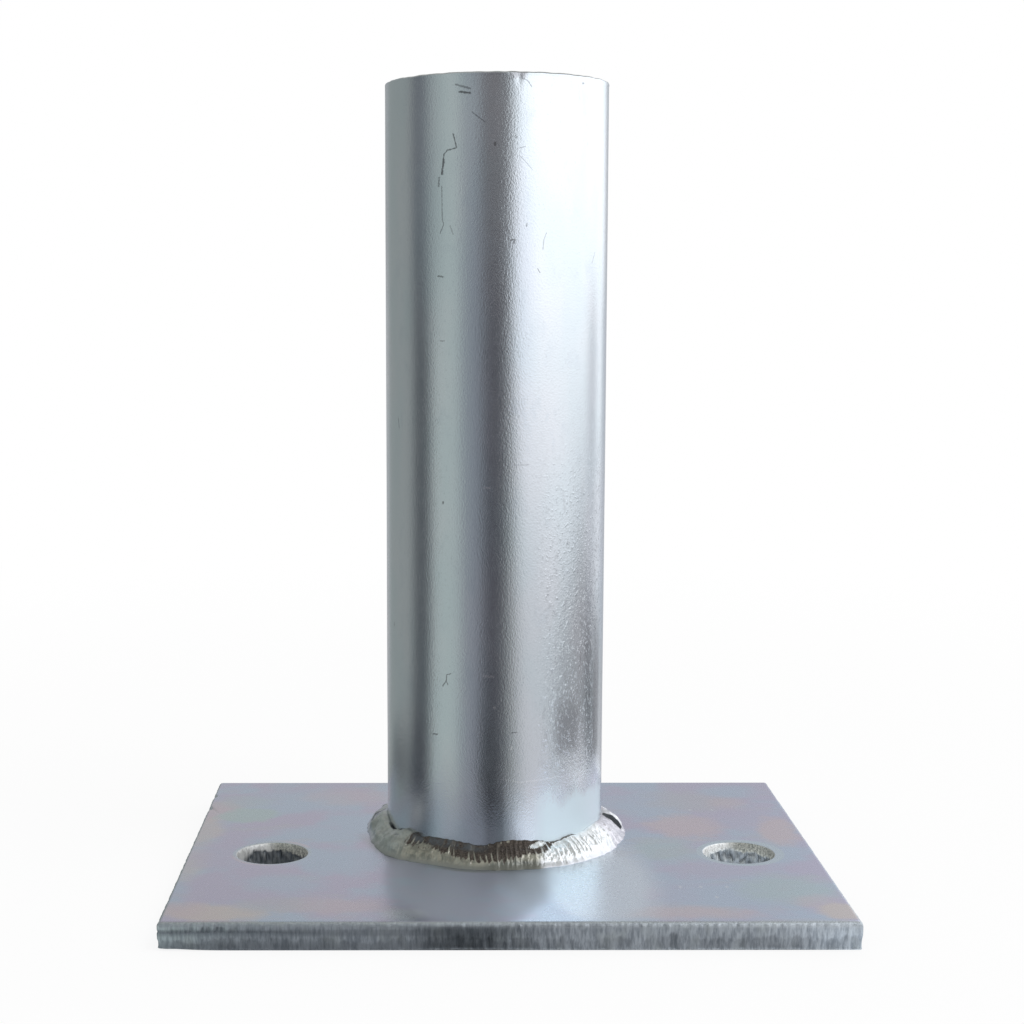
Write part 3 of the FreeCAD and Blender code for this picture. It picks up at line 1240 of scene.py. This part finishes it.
@dataclass(frozen=True)
class Crease:
    """A crack across the bead, where one run of weld ends against the wall of another.

    Attributes:
        top: Its bearing at the tube.
        bottom: Its bearing at the plate.
        width: Its half width, in degrees.
        depth: How deep it is, in millimetres.
        lip: How far the metal behind it stands up.
        scale: Share of scale in it.
    """

    top: float
    bottom: float
    width: float
    depth: float
    lip: float
    scale: float = 1.0

    def away(self, bearing: Array, across: Array) -> Array:
        """Widths behind the crease's line, which runs evenly from its top to its bottom."""
        line = self.top + (self.bottom - self.top) * across
        return (bearing - line) * math.copysign(1 / self.width, self.top)

    def at(self, bearing: Array, across: Array) -> Array:
        """Rise of the surface: a groove on the line, then a wall up to a lip that slopes off behind it."""
        away = self.away(bearing, across)
        return self.lip * window(away, 0.3, 1.5, 8.0, 14.0) - self.depth * hump(away, 0.0, 1.0)

    def shade(self, bearing: Array, across: Array) -> Array:
        """Share of scale: the groove and the wall behind it, except near the toes."""
        away = self.away(bearing, across)
        return self.scale * window(across, 0.0, 0.06, 0.72, 0.98) * window(away, -0.6, 0.1, 1.2, 1.8)


@dataclass
class FilletWeld:
    """The hand-laid bead round the tube's foot.

    Attributes:
        tube: The tube that it joins.
        plate: The plate that it joins.
        reach: Mean width of the bead over the plate.
        climb: Height of the bead up the tube.
        most_climb: Height that no part of it passes.
        toe_swings: Where the upper toe rises and falls.
        reach_swings: Where the bead is wider or narrower.
        creases: Cracks across the bead.
        pitch: Distance between ripples.
        ripple: How far a ripple stands up.
        trail: How many ripples the lower end of one trails its upper end by.
        crown: How far the face bulges.
        flare: Width of the thin skirt at the lower toe.
        sunk: How far its inner edge lies inside the tube's face.
        columns: Points round the bead.
        rows: Points across its face.
    """

    tube: PostTube
    plate: SteelPlate
    reach: float = 4.5
    climb: float = 4.1
    most_climb: float = 4.6
    toe_swings: tuple[Swing, ...] = (
        Swing(-68, 10, -1.5), Swing(-43, 5, -0.7), Swing(-22, 14, -0.5), Swing(-9, 7, -0.8),
        Swing(6, 5, 0.1), Swing(30, 7, -0.95), Swing(46, 6, -0.35),
    )
    reach_swings: tuple[Swing, ...] = (
        Swing(-84, 16, -1.2), Swing(-48, 14, 0.9), Swing(-12, 12, 0.35), Swing(24, 28, 0.5),
        Swing(72, 12, -0.3),
    )
    creases: tuple[Crease, ...] = (
        Crease(81.8, 84.8, 1.0, 0.3, 0.6), Crease(-92.5, -92.0, 0.5, 0.08, 0.09, scale=0.5),
    )
    pitch: float = 1.15
    ripple: float = 0.14
    trail: float = 1.3
    crown: float = 0.5
    flare: float = 0.35
    sunk: float = 0.06
    columns: int = 1500
    rows: int = 60

    def __post_init__(self) -> None:
        """Set out the face: bearings and places at the tube's foot by column, shares of the way by row."""
        self.turn, self.bearing = ring_steps(self.columns)
        self.ring = around((0.0, 0.0), self.turn, self.tube.radius, 0.0)
        self.across = np.linspace(0, 1, self.rows)[:, None]

    def scale_left(self, crest: Array) -> Array:
        """Where scale lies: under the upper toe at the front, between the strokes, in the cracks.

        The scale's lower edge hangs lowest at the front in upright streaks, and at the right it rises
        to a thin line under the toe. Bare crests of the ripples break its lower half, and a grey
        patch its left end.

        Args:
            crest: Height of the ripples, from 0 to 1.

        Returns:
            Shares of scale at each point.
        """
        bearing, across, ring = self.bearing, self.across, self.ring
        streak = Waves(0.55, 51).at(ring)
        patches = Waves(2.6, 50).at(ring)
        edge = 0.48 + 0.27 * hump(bearing, -4.0, 17.0) - 0.50 * smooth_step(bearing, 20.0, 33.0)
        edge = edge + 0.04 * streak
        share = window(bearing, -50, -45, 42, 48) * smooth_step(across, edge + 0.07, edge - 0.07)
        bare = smooth_step(across, edge - 0.5, edge - 0.1) * smooth_step(crest, 0.35, 0.8)
        bare = bare * (1 - 0.5 * smooth_step(bearing, -2.0, 4.0))
        share = share * (1 - bare * (0.65 + 0.5 * patches).clip(0, 1))
        share = share * (1 - self.white_patch())
        share = share * (1 - 0.85 * hump(bearing, -37.0, 6.0) * hump(across, 0.40, 0.10))
        share = share * (1 - 0.35 * smooth_step(Waves(1.0, 54).at(ring) * (1 - across), 0.2, 1.0))
        flecks = smooth_step(Waves(0.7, 52).at(ring), 1.1, 1.7) * hump(across, 0.05, 0.06)
        share = share * (1 - 0.8 * flecks)
        notch = window(bearing, -80, -70, -58, -52) * hump(across, 0.015, 0.045)
        toe_line = window(bearing, 27, 31, 43, 47) * hump(across, 0.03, 0.04)
        strokes = hump(bearing, 32.0, 3.5) * hump(across, 0.34, 0.12) * smooth_step(streak, 0.2, 0.8)
        share = share + 0.9 * notch + 0.75 * toe_line + 0.6 * strokes * (1 - crest)
        return (share + sum(crease.shade(bearing, across) for crease in self.creases)).clip(0, 1)

    def white_patch(self) -> Array:
        """A white patch above the scale, a painted highlight: a bell that comes nearer the tube to the right.
        """
        turned = self.bearing - 19.5
        patch = hump(turned, 0.0, 5.0) * hump(self.across, 0.19 - 0.02 * turned, 0.11)
        return smooth_step(patch * (1 + 0.3 * np.sin(7.0 * self.bearing)), 0.25, 0.6)

    def painted_highlight_share(self) -> Array:
        """Where the bead is painted white as a highlight: all of it at the right, which faces the light, and
        the patch above the scale.
        """
        right = smooth_step(self.bearing + 4.0 * self.across, 19.0, 25.0)
        return np.maximum(right, self.white_patch())

    def dulled(self) -> Array:
        """Where the toe's colour shows: along the lower toe, and on the bead's two ends."""
        bearing, across = self.bearing, self.across
        ends = np.maximum(smooth_step(bearing, -86, -93), smooth_step(bearing, 60, 68))
        ends = ends * smooth_step(abs(bearing), 112.0, 98.0)
        for crease in self.creases:
            ends = ends * (1 - 0.7 * window(crease.away(bearing, across), 1.0, 1.8, 10.0, 13.0))
        early = window(bearing, -8.0, 0.0, 18.0, 21.0)
        toe = smooth_step(across, 0.78 - 0.10 * early, 0.98 - 0.14 * early)
        return np.maximum(toe, 0.9 * ends)

    def toes(self) -> tuple[Array, Array]:
        """Where the bead ends up the tube and over the plate: a mean, slow waves and the swings.

        Returns:
            The climb and the reach of each column.
        """
        bearing, ring = self.bearing, self.ring
        climb = self.climb + 0.12 * Waves(9.0, 41).at(ring) + 0.05 * Waves(1.3, 44).at(ring) - 0.05
        climb = climb + sum(swing.at(bearing) for swing in self.toe_swings)
        reach = self.reach + 0.12 * Waves(12.0, 42).at(ring) + 0.07 * Waves(2.2, 43).at(ring)
        reach = reach + sum(swing.at(bearing) for swing in self.reach_swings)
        return np.minimum(climb, self.most_climb), reach

    def ripples(self) -> Array:
        """Sharp crests round the bead: a raised cosine cubed, whose phase drifts and lags down the face.

        Returns:
            The ripples' height at each point, from 0 to 1.
        """
        count = round((self.tube.radius + self.reach / 2) * FULL_TURN / self.pitch)
        drift = 0.5 * Waves(14.0, 45).at(self.ring) + 0.18 * Waves(4.5, 46).at(self.ring)
        lag = self.trail * (1 - 1.25 * window(self.bearing, -8, 8, 120, 170))
        return (0.5 + 0.5 * np.cos(count * self.turn + FULL_TURN * (drift - lag * self.across**1.5))) ** 3

    def swell(self, crest: Array) -> Array:
        """How far the face stands out from the straight line between its toes.

        It is the crown, less a hollow under the upper toe at the front, with the ripples, a fine grain,
        a blob and a dimple at the left, and the creases.

        Args:
            crest: Height of the ripples, from 0 to 1.

        Returns:
            Distances along the line's normal.
        """
        bearing, across, ring = self.bearing, self.across, self.ring
        blob = window(bearing, -112, -88, -53, -47)
        middle = window(bearing, -50, -38, 24, 44)
        body = (4 * across * (1 - across)) ** (0.6 + 0.6 * smooth_step(across, 0.6, 1.0))
        strength = (0.75 + 0.5 * Waves(2.6, 47).at(ring)).clip(0.15) * (1 - 0.9 * blob)
        swell = self.crown * body * (1 + 0.7 * blob) - 0.30 * middle * hump(across, 0.2, 0.17)
        swell = swell + self.ripple * strength * crest * body * smooth_step(across, 0.05, 0.4)
        down = across[..., None]
        face = ring[None] * (1 + 0.12 * down) + np.array([0, 0, 4.0]) * (1 - down)
        grain = 0.05 * Waves(1.1, 48).at(face) + 0.025 * Waves(0.45, 49).at(face)
        grain = grain * (1 - 0.45 * window(bearing, 24.0, 36.0, 110.0, 130.0))
        swell = swell + grain * body * (1 - 0.3 * blob) + 0.15 * blob * Waves(3.2, 53).at(face) * body
        swell = swell + 0.45 * hump(bearing, -45.5, 2.6) * hump(across, 0.13, 0.1)
        swell = swell - 0.35 * hump(bearing, -55.0, 3.0) * hump(across, 0.27, 0.08)
        return swell + body * sum(crease.at(bearing, across) for crease in self.creases)

    def build(self) -> bpy.types.Object:
        """Lay the face on straight lines between its toes, moved along their normals, and close it below."""
        across = self.across
        climb, reach = self.toes()
        crest = self.ripples()
        swell = self.swell(crest)
        slope = np.hypot(reach, climb)
        radius = self.tube.radius + reach * across + swell * climb / slope
        radius = radius + self.flare * smooth_step(across, 0.84, 1.0)
        height = (climb * (1 - across) + swell * reach / slope).clip(0, self.most_climb)
        inner = self.tube.radius - self.sunk
        radius[0] = inner
        height[-1] = 0
        under = np.zeros((1, self.columns))
        radius = np.concatenate([radius, under + inner])
        height = np.concatenate([height, under]) + self.plate.thickness

        # The bright mark carries the painted highlight.
        shares = {"hollow": self.scale_left(crest), "toe": self.dulled(), "bright": self.painted_highlight_share()}
        marks = {name: np.concatenate([share, under]) for name, share in shares.items()}
        finish = WeldFinish("zinc_on_weld", self.tube.axis, self.tube.radius)
        patch = Patch(around(self.tube.axis, self.turn, radius, height), closed_rows=True, marks=marks)
        return make_piece("weld_run", [patch], Node.WELD, finish)


@dataclass(frozen=True)
class Card:
    """A lit or shaded panel of the reflector tent.

    Attributes:
        bearing: Bearing of its middle.
        half_width: Half the angle that it fills, in degrees.
        level: Its brightness, as a colour.
        low: Where it starts, as a distance up the tent from the foot of its wall; less than 0 is ground.
        high: Where it ends.
        edge: Softness of its upright edges, in degrees.
        fade: Softness of its level edges.
    """

    bearing: float
    half_width: float
    level: Colour
    low: float = -400.0
    high: float = 900.0
    edge: float = 6.0
    fade: float = 10.0


@dataclass(frozen=True)
class TentFinish(Finish):
    """Light given by the tent's panels, each laid over those before it.

    Attributes:
        axis: Where the tent's axis stands.
        radius: The tent's radius.
        cloth: Brightness where no panel is.
        cards: The panels.
    """

    axis: Place
    radius: float
    cloth: Colour
    cards: tuple[Card, ...]

    def wire(self, shader: Shader) -> None:
        """Blend the panels by bearing and by distance up the tent, and give off the result."""
        x, y, z = shader.parts(shader.place())
        across, along = x - self.axis[0], y - self.axis[1]
        bearing = shader.bearing(across, along)
        travel = z + (shader.distance(across, along) - self.radius) * z.eased(2.0, 1.0)
        light: Signal | Colour = self.cloth
        for card in self.cards:
            away = shader.turned(bearing, card.bearing)
            mask = away.eased(card.half_width + card.edge, card.half_width - card.edge)
            low, high, fade = card.low, card.high, card.fade
            mask = mask * travel.between(low - fade, low + fade, high - fade, high + fade)
            light = shader.mix(mask, light, card.level)
        glow = shader.node("ShaderNodeEmission", sockets={"Color": light, "Strength": 1.0})
        shader.close("ShaderNodeOutputMaterial", glow)


@dataclass
class ReflectorTent:
    """A round tent of cards about the part, which only its polished faces see.

    Attributes:
        axis: Where its axis stands.
        cards: Its panels.
        cloth: Brightness of its plain cloth.
        radius: Its radius.
        wall: Height of its upright wall.
        peak: Height of its flat top.
        top_share: Radius of its flat top, as a share of its own.
        ground: Height of its ground sheet.
        sides: Number of its flat sides.
    """

    axis: Place
    cards: tuple[Card, ...]
    cloth: Colour = (0.31, 0.34, 0.335)
    radius: float = 250.0
    wall: float = 240.0
    peak: float = 330.0
    top_share: float = 0.6
    ground: float = -0.02
    sides: int = 96

    def build(self) -> None:
        """Turn the tent's section round its axis and let only mirrored light see it."""
        hub = 1.0
        section = np.array([
            (hub, self.ground), (self.radius, self.ground), (self.radius, self.wall),
            (self.radius * self.top_share, self.peak), (hub, self.peak),
        ])
        turn, _ = ring_steps(self.sides)
        points = around(self.axis, turn, section[:, :1], section[:, 1:])
        mesh = bpy.data.meshes.new("reflector_tent")
        mesh.from_pydata((points * MM).reshape(-1, 3).tolist(), [], Patch(points).faces().tolist())
        material = TentFinish("tent_light", self.axis, self.radius, self.cloth, self.cards).material()
        material.cycles.emission_sampling = "NONE"
        mesh.materials.append(material)
        tent = add_object("reflector_tent", mesh)
        tent.visible_camera = False
        tent.visible_diffuse = False
        tent.visible_shadow = False
        tent.visible_transmission = False


@dataclass(frozen=True)
class FloorFinish(Finish):
    """Matt white floor that keeps the part's shadow and turns into the white background.

    Attributes:
        near: Distance from the part at which the floor starts to fade into the background.
        far: Distance at which it has done so.
        paper: The floor's own colour.
        glow: Share of plain white near the part.
    """

    near: float = 120.0
    far: float = 450.0
    paper: Colour = (0.90, 0.90, 0.90)
    glow: float = 0.86

    def wire(self, shader: Shader) -> None:
        """Mix the paper with plain white, which camera, mirrored and passing rays see."""
        place = shader.place()
        away = shader.node("ShaderNodeVectorMath", {"operation": "LENGTH"}, {0: place}, "Value")
        share = (away.eased(self.near, self.far) * (1 - self.glow) + self.glow) * shader.seen()
        paper = shader.node("ShaderNodeBsdfDiffuse", sockets={"Color": (*self.paper, 1.0)})
        white = shader.node("ShaderNodeEmission", sockets={"Color": WHITE, "Strength": 1.0})
        both = shader.node("ShaderNodeMixShader", sockets={0: share, 1: paper, 2: white})
        shader.close("ShaderNodeOutputMaterial", both)


@dataclass
class Studio:
    """Floor, background and lamp.

    Attributes:
        floor_size: Half the side of the floor.
        floor_height: Height of the floor, a hair under the part.
        sky: Strength of the world's light.
        lamp_place: Where the soft lamp hangs, in metres.
        lamp_size: Side of the lamp, in metres.
        lamp_power: Its power, in watts.
    """

    floor_size: float = 6000.0
    floor_height: float = -0.05
    sky: float = 0.85
    lamp_place: tuple[float, float, float] = (0.45, -0.25, 0.9)
    lamp_size: float = 0.5
    lamp_power: float = 2.2

    def build(self) -> None:
        """Make the floor, the white world and the lamp."""
        side = self.floor_size
        corners = np.array([(-side, -side), (side, -side), (side, side), (-side, side)])
        corners = np.insert(corners, 2, self.floor_height, axis=1)
        mesh = bpy.data.meshes.new("floor")
        mesh.from_pydata((corners * MM).tolist(), [], [(0, 1, 2, 3)])
        mesh.materials.append(FloorFinish("white_floor").material())
        add_object("floor", mesh)

        world = bpy.data.worlds.new("white_room")
        bpy.context.scene.world = world
        shader = Shader(world)
        strength = shader.seen() * (1 - self.sky) + self.sky
        light = shader.node("ShaderNodeBackground", sockets={"Color": WHITE, "Strength": strength})
        shader.close("ShaderNodeOutputWorld", light)

        lamp = bpy.data.lights.new("soft_lamp", "AREA")
        lamp.shape = "DISK"
        lamp.size = self.lamp_size
        lamp.energy = self.lamp_power
        holder = add_object("soft_lamp", lamp)
        holder.location = self.lamp_place
        holder.rotation_euler = (-holder.location).to_track_quat("-Z", "Y").to_euler()
        holder.visible_glossy = False


@dataclass(frozen=True)
class StudioCamera:
    """The camera, held level from left to right.

    Attributes:
        place: Where it stands, in millimetres.
        lens: Its focal length for a 36 mm sensor.
        tilt: How far it looks down, in degrees.
        turn: How far it looks to the right of straight ahead, in degrees.
        shift: How far the frame is moved right and up, as a share of its width.
    """

    place: tuple[float, float, float] = (-12.66, -344.93, 108.76)
    lens: float = 64.3
    tilt: float = 7.254
    turn: float = 0.166
    shift: Place = (0.0696, 0.0249)

    def build(self) -> None:
        """Make the camera and hand it to the scene."""
        data = bpy.data.cameras.new("camera")
        data.lens = self.lens
        data.sensor_width = 36.0
        data.shift_x, data.shift_y = self.shift
        camera = add_object("camera", data)
        camera.location = np.array(self.place) * MM
        camera.rotation_euler = (math.radians(90 - self.tilt), 0, math.radians(-self.turn))
        bpy.context.scene.camera = camera


DARK: Colour = (0.07, 0.065, 0.06)
SCALE: Colour = (0.16, 0.16, 0.17)
PALE: Colour = (0.97, 0.97, 0.98)

TUBE_MARKS = (
    Scratch(
        ((-23.6, 139.2), (-21.8, 136.7), (-26.8, 136.3), (-28.5, 135.6), (-29.8, 132.3)), 0.26, SCALE, 0.8
    ),
    Scratch(((-28.7, 134.6), (-29.6, 132.2)), 0.42, SCALE, 0.75),
    Scratch(((-31.3, 131.5), (-31.6, 130.0)), 0.36, SCALE, 0.65),
    Scratch(((-29.8, 130.0), (-29.5, 124.0), (-28.7, 123.2), (-30.7, 121.6)), 0.2, SCALE, 0.55),
    Scratch(((-25.2, 122.9), (-23.6, 121.4)), 0.22, SCALE, 0.35),
    Scratch(((-22.1, 147.8), (-15.0, 147.0)), 0.36, SCALE, 0.6),
    Scratch(((-20.3, 146.5), (-15.0, 146.2)), 0.38, DARK, 0.75),
    Scratch(((-14.0, 142.9), (-7.6, 141.1)), 0.22, SCALE, 0.5),
    Scratch(((-31.8, 113.9), (-29.0, 113.8)), 0.3, DARK, 0.55),
    Scratch(((-30.7, 102.2), (-28.4, 102.2)), 0.24, SCALE, 0.4),
    Scratch(((-61.8, 87.6), (-60.8, 85.8)), 0.2, SCALE, 0.45),
    Scratch(((-67.7, 48.2), (-67.4, 47.8)), 0.3, SCALE, 0.6),
    Scratch(((-7.5, 75.5), (-4.6, 75.5)), 0.34, PALE, 0.5),
    Scratch(((-29.0, 72.6), (-29.0, 72.4)), 0.34, DARK, 0.6),
    Scratch(((-24.6, 40.6), (-26.9, 40.3), (-27.2, 39.1), (-29.2, 38.1)), 0.22, DARK, 0.6),
    Scratch(((-27.2, 39.1), (-26.3, 38.5)), 0.2, DARK, 0.5),
    Scratch(((-7.4, 40.5), (-2.7, 40.4)), 0.5, PALE, 0.6),
    Scratch(((-2.1, 34.7), (-2.1, 34.5)), 0.42, PALE, 0.85),
    Scratch(((-34.9, 28.7), (-32.4, 28.7)), 0.3, SCALE, 0.65),
    Scratch(((6.5, 29.7), (9.5, 29.8)), 0.2, SCALE, 0.45),
    Scratch(((6.8, 27.0), (6.8, 26.6)), 0.34, PALE, 0.8),
    Scratch(((7.3, 79.7), (14.9, 79.7)), 0.14, SCALE, 0.35),
    Scratch(((0.3, 80.8), (0.3, 80.6)), 0.3, PALE, 0.7),
    Scratch(((10.7, 148.8), (13.0, 148.4), (15.2, 147.3)), 0.2, SCALE, 0.6),
    Scratch(((6.0, 149.4), (11.0, 149.5)), 1.4, (0.45, 0.44, 0.46), 0.75),
    Scratch(((8.9, 135.3), (12.0, 134.3), (16.0, 132.7)), 0.13, SCALE, 0.4),
    Scratch(((8.9, 136.5), (11.9, 136.8)), 0.16, SCALE, 0.45),
    Scratch(((5.2, 120.3), (7.2, 120.4), (6.5, 119.7)), 0.26, DARK, 0.6),
    Scratch(((23.4, 121.6), (22.0, 120.4), (21.5, 118.6)), 0.14, SCALE, 0.5),
    Scratch(((18.9, 115.2), (20.0, 114.5)), 0.2, DARK, 0.55),
    Scratch(((13.1, 123.2), (12.9, 122.8)), 0.26, SCALE, 0.6),
    Scratch(((-2.7, 137.4), (-2.7, 137.0)), 0.34, DARK, 0.5),
    Scratch(((7.4, 138.7), (7.4, 138.4)), 0.26, DARK, 0.5),
    Scratch(((46.2, 148.6), (45.4, 148.5)), 0.3, SCALE, 0.6),
    Scratch(((57.6, 118.4), (54.6, 116.4)), 0.16, SCALE, 0.4),
    Scratch(((1.0, 21.0), (11.0, 20.2), (33.9, 20.6)), 0.3, PALE, 0.3),
)

PLATE_SPOTS = (
    Spot(-41.3, 31.3, 12.0, 9.0, ICE, 0.6),
    Spot(-30.0, 34.0, 10.0, 6.0, ROSE, 0.45),
    Spot(-57.5, 23.0, 4.5, 7.0, ROSE, 0.7, 0.4),
    Spot(-58.5, 8.0, 3.5, 9.0, STRAW, 0.6),
    Spot(-58.2, -12.0, 3.0, 10.0, STRAW, 0.55),
    Spot(-51.0, 19.5, 6.0, 5.0, LEAF, 0.85, 0.25),
    Spot(-53.0, 29.0, 5.0, 5.0, LEAF, 0.4),
    Spot(-52.7, -7.6, 7.0, 9.0, LILAC, 0.7),
    Spot(-40.5, -25.0, 7.0, 5.0, ICE, 0.75),
    Spot(-27.8, -11.0, 6.0, 8.0, ICE, 0.8),
    Spot(-33.5, 7.0, 9.0, 5.0, ICE, 0.5),
    Spot(-50.5, -41.0, 9.0, 4.0, STRAW, 0.85, 0.4),
    Spot(-56.5, -39.0, 4.0, 4.0, ROSE, 0.7),
    Spot(-30.5, -37.5, 9.0, 4.0, ROSE, 0.6),
    Spot(-41.5, -37.0, 6.0, 4.0, FOG, 0.6),
    Spot(31.0, 28.0, 8.0, 11.0, ICE, 0.8),
    Spot(37.5, 11.5, 7.5, 8.0, ROSE, 0.8, 0.3),
    Spot(41.0, 30.0, 8.0, 8.0, FOG, 0.75),
    Spot(48.5, 28.5, 4.0, 5.0, ROSE, 0.5),
    Spot(50.1, 38.0, 6.0, 5.0, ICE, 0.8),
    Spot(51.0, 16.0, 7.0, 8.0, LILAC, 0.8),
    Spot(55.5, 8.0, 4.0, 9.0, ROSE, 0.9, 0.35),
    Spot(31.5, -5.0, 5.0, 7.0, LEAF, 0.6),
    Spot(40.0, -17.0, 10.0, 5.0, LILAC, 0.7),
    Spot(34.2, -31.5, 9.0, 6.0, ICE, 0.7),
    Spot(50.8, -28.5, 8.0, 8.0, LEAF, 0.65),
    Spot(54.5, -35.0, 4.0, 3.5, ROSE, 0.5),
    Spot(57.3, -40.5, 4.0, 4.0, STRAW, 0.9, 0.3),
    Spot(30.0, -41.0, 12.0, 3.0, ROSE, 0.75),
    # Painted reflection: the tube's bright band mirrored in the plate to its right, pale blue-white.
    Spot(19.0, -24.0, 7.5, 22.0, (0.92, 0.96, 1.0), 0.8, ragged=0.2),
    # Painted reflection: a dark strip on the plate in front of the tube.
    Spot(4.2, -18.0, 4.2, 16.0, (0.30, 0.325, 0.36), 1.0, ragged=0.1),
    # Painted reflection: more of the tube's bright band in the plate, with a sharper edge.
    Spot(16.0, -25.0, 8.8, 20.0, (0.85, 0.92, 0.99), 0.8, edge=0.2, ragged=0.15),
    # Painted reflection: blue-grey where the plate mirrors the tube in front of it; the zinc there is also
    # rougher.
    Spot(-6.4, -20.0, 14.9, 27.0, (0.64, 0.685, 0.745), 0.6, edge=0.13, ragged=0.1, dull=0.25),
    Spot(-18.0, -42.0, 3.6, 3.0, (0.85, 0.86, 0.88), 0.6, ragged=0.2),
)

COAT_TINT_AND_SHADOW_HALOS = (
    Halo(1, 6.6, 8.3, (0.70, 0.79, 0.84), 0.95, offset=0.3),
    Halo(0, 6.6, 7.5, (0.67, 0.755, 0.80), 0.7),
    Halo(0, 7.0, 8.1, (0.86, 0.72, 0.73), 0.5, bearing=140.0, spread=22.0),
    Halo(0, 7.2, 8.0, (0.86, 0.72, 0.73), 0.4, bearing=-35.0, spread=40.0),
    # Painted shadow: dark olive on the plate under the weld's front toe.
    Halo(2, 24.0, 27.6, (0.38, 0.39, 0.36), 0.7, bearing=-13.0, spread=12.0, blur=0.7, turn_blur=14.0),
    Halo(2, 24.0, 27.0, (0.50, 0.52, 0.51), 0.6, bearing=-62.0, spread=18.0, blur=1.3, turn_blur=14.0),
)

PLATE_FLECKS = ((40.0, 23.4), (44.6, 23.4), (31.3, -27.0), (35.0, -27.0), (39.7, -27.0), (37.0, -32.7))

EDGE_NICKS = (Nick(-58.9, 25.2, 1.1, 0.3), Nick(-59.4, 34.5, 0.8, 0.2))

TENT_CARDS = (
    Card(-165, 17, (0.50, 0.51, 0.53)),
    Card(-158, 10, (0.40, 0.415, 0.43), low=120, fade=15),
    Card(158, 24, (0.50, 0.515, 0.545)),
    Card(-54, 19, (0.47, 0.53, 0.52), edge=5),
    Card(-81, 12, (0.095, 0.105, 0.115)),
    Card(-81, 12, (0.15, 0.165, 0.185), low=120, fade=20),
    Card(-66, 8, (0.36, 0.41, 0.41), low=105, edge=9, fade=20),
    Card(-112, 18, (0.14, 0.155, 0.16), low=-205, high=-122, edge=8, fade=12),
    Card(-79, 12, (0.046, 0.05, 0.06), low=-202, high=-122, edge=8, fade=12),
    Card(-22, 12, (0.27, 0.29, 0.33), edge=9),
    Card(-24, 10, (0.35, 0.39, 0.41), low=145, edge=9, fade=20),
    Card(-2.5, 12.5, (0.083, 0.083, 0.097), edge=7),
    Card(-2.5, 12.5, (0.195, 0.19, 0.20), low=125, edge=7, fade=25),
    Card(-8.5, 8, (0.035, 0.038, 0.042), low=-198, high=-95, edge=7, fade=15),
    Card(80, 60, (0.66, 0.68, 0.71), edge=9),
    Card(80, 60, (0.90, 0.93, 0.97), low=32, edge=9, fade=18),
    Card(66, 16, (1.03, 1.06, 1.10), low=32, high=70, edge=12, fade=18),
    Card(80, 60, (1.2, 1.24, 1.28), low=78, edge=9, fade=20),
    Card(80, 60, (1.40, 1.46, 1.52), low=118, edge=9, fade=25),
    Card(25, 8, (1.02, 1.09, 1.20), low=85, high=145, edge=8, fade=15),
    Card(95, 28, (0.38, 0.385, 0.40), low=-130, high=12, edge=10, fade=15),
    Card(96, 9, (0.40, 0.41, 0.43), low=-8, high=38, fade=12),
    Card(65, 13, (0.13, 0.13, 0.14), low=-124, high=-92, edge=9, fade=12),
    Card(90, 45, (1.45, 1.57, 1.70), high=-164, edge=10, fade=10),
    Card(85, 28, (0.58, 0.595, 0.62), low=-168, high=-132, edge=10, fade=8),
    Card(113, 7, (0.60, 0.62, 0.67), high=110),
    Card(112, 8, (0.13, 0.135, 0.145), low=-155, high=14, fade=12),
    Card(130, 5, (1.25, 1.3, 1.35), low=10, high=110),
    Card(131, 6, (0.88, 0.93, 0.98), low=8, high=58, fade=12),
    Card(146, 8, (0.54, 0.57, 0.63), low=-20, high=110),
    Card(0, 60, (0.385, 0.395, 0.415), high=-172, edge=30, fade=8),
    Card(-48, 26, (0.25, 0.26, 0.275), high=-172, edge=14, fade=8),
    Card(44, 26, (0.42, 0.43, 0.45), high=-172, edge=14, fade=8),
    Card(92, 38, (1.45, 1.55, 1.62), high=-168, edge=14, fade=9),
    Card(-6, 8, (0.05, 0.053, 0.057), high=-158, edge=7, fade=12),
    Card(0, 180, (0.40, 0.41, 0.39), low=262, fade=20),
)


def main() -> None:
    """Build the part, its light and its camera, and report each piece."""
    logging.basicConfig(level=logging.INFO, format="%(name)s: %(message)s")
    plate = SteelPlate(PLATE_SPOTS, COAT_TINT_AND_SHADOW_HALOS, PLATE_FLECKS, EDGE_NICKS)
    tube = PostTube(TUBE_MARKS)
    weld = FilletWeld(tube, plate)
    for part in (plate, tube, weld):
        piece = part.build()
        log.info("%s is dressed with %s", piece.name, piece.data.materials[0].name)
    ReflectorTent(tube.axis, TENT_CARDS).build()
    Studio().build()
    StudioCamera().build()
    bpy.context.scene.view_settings.view_transform = "Standard"


if __name__ == "__main__":
    main()
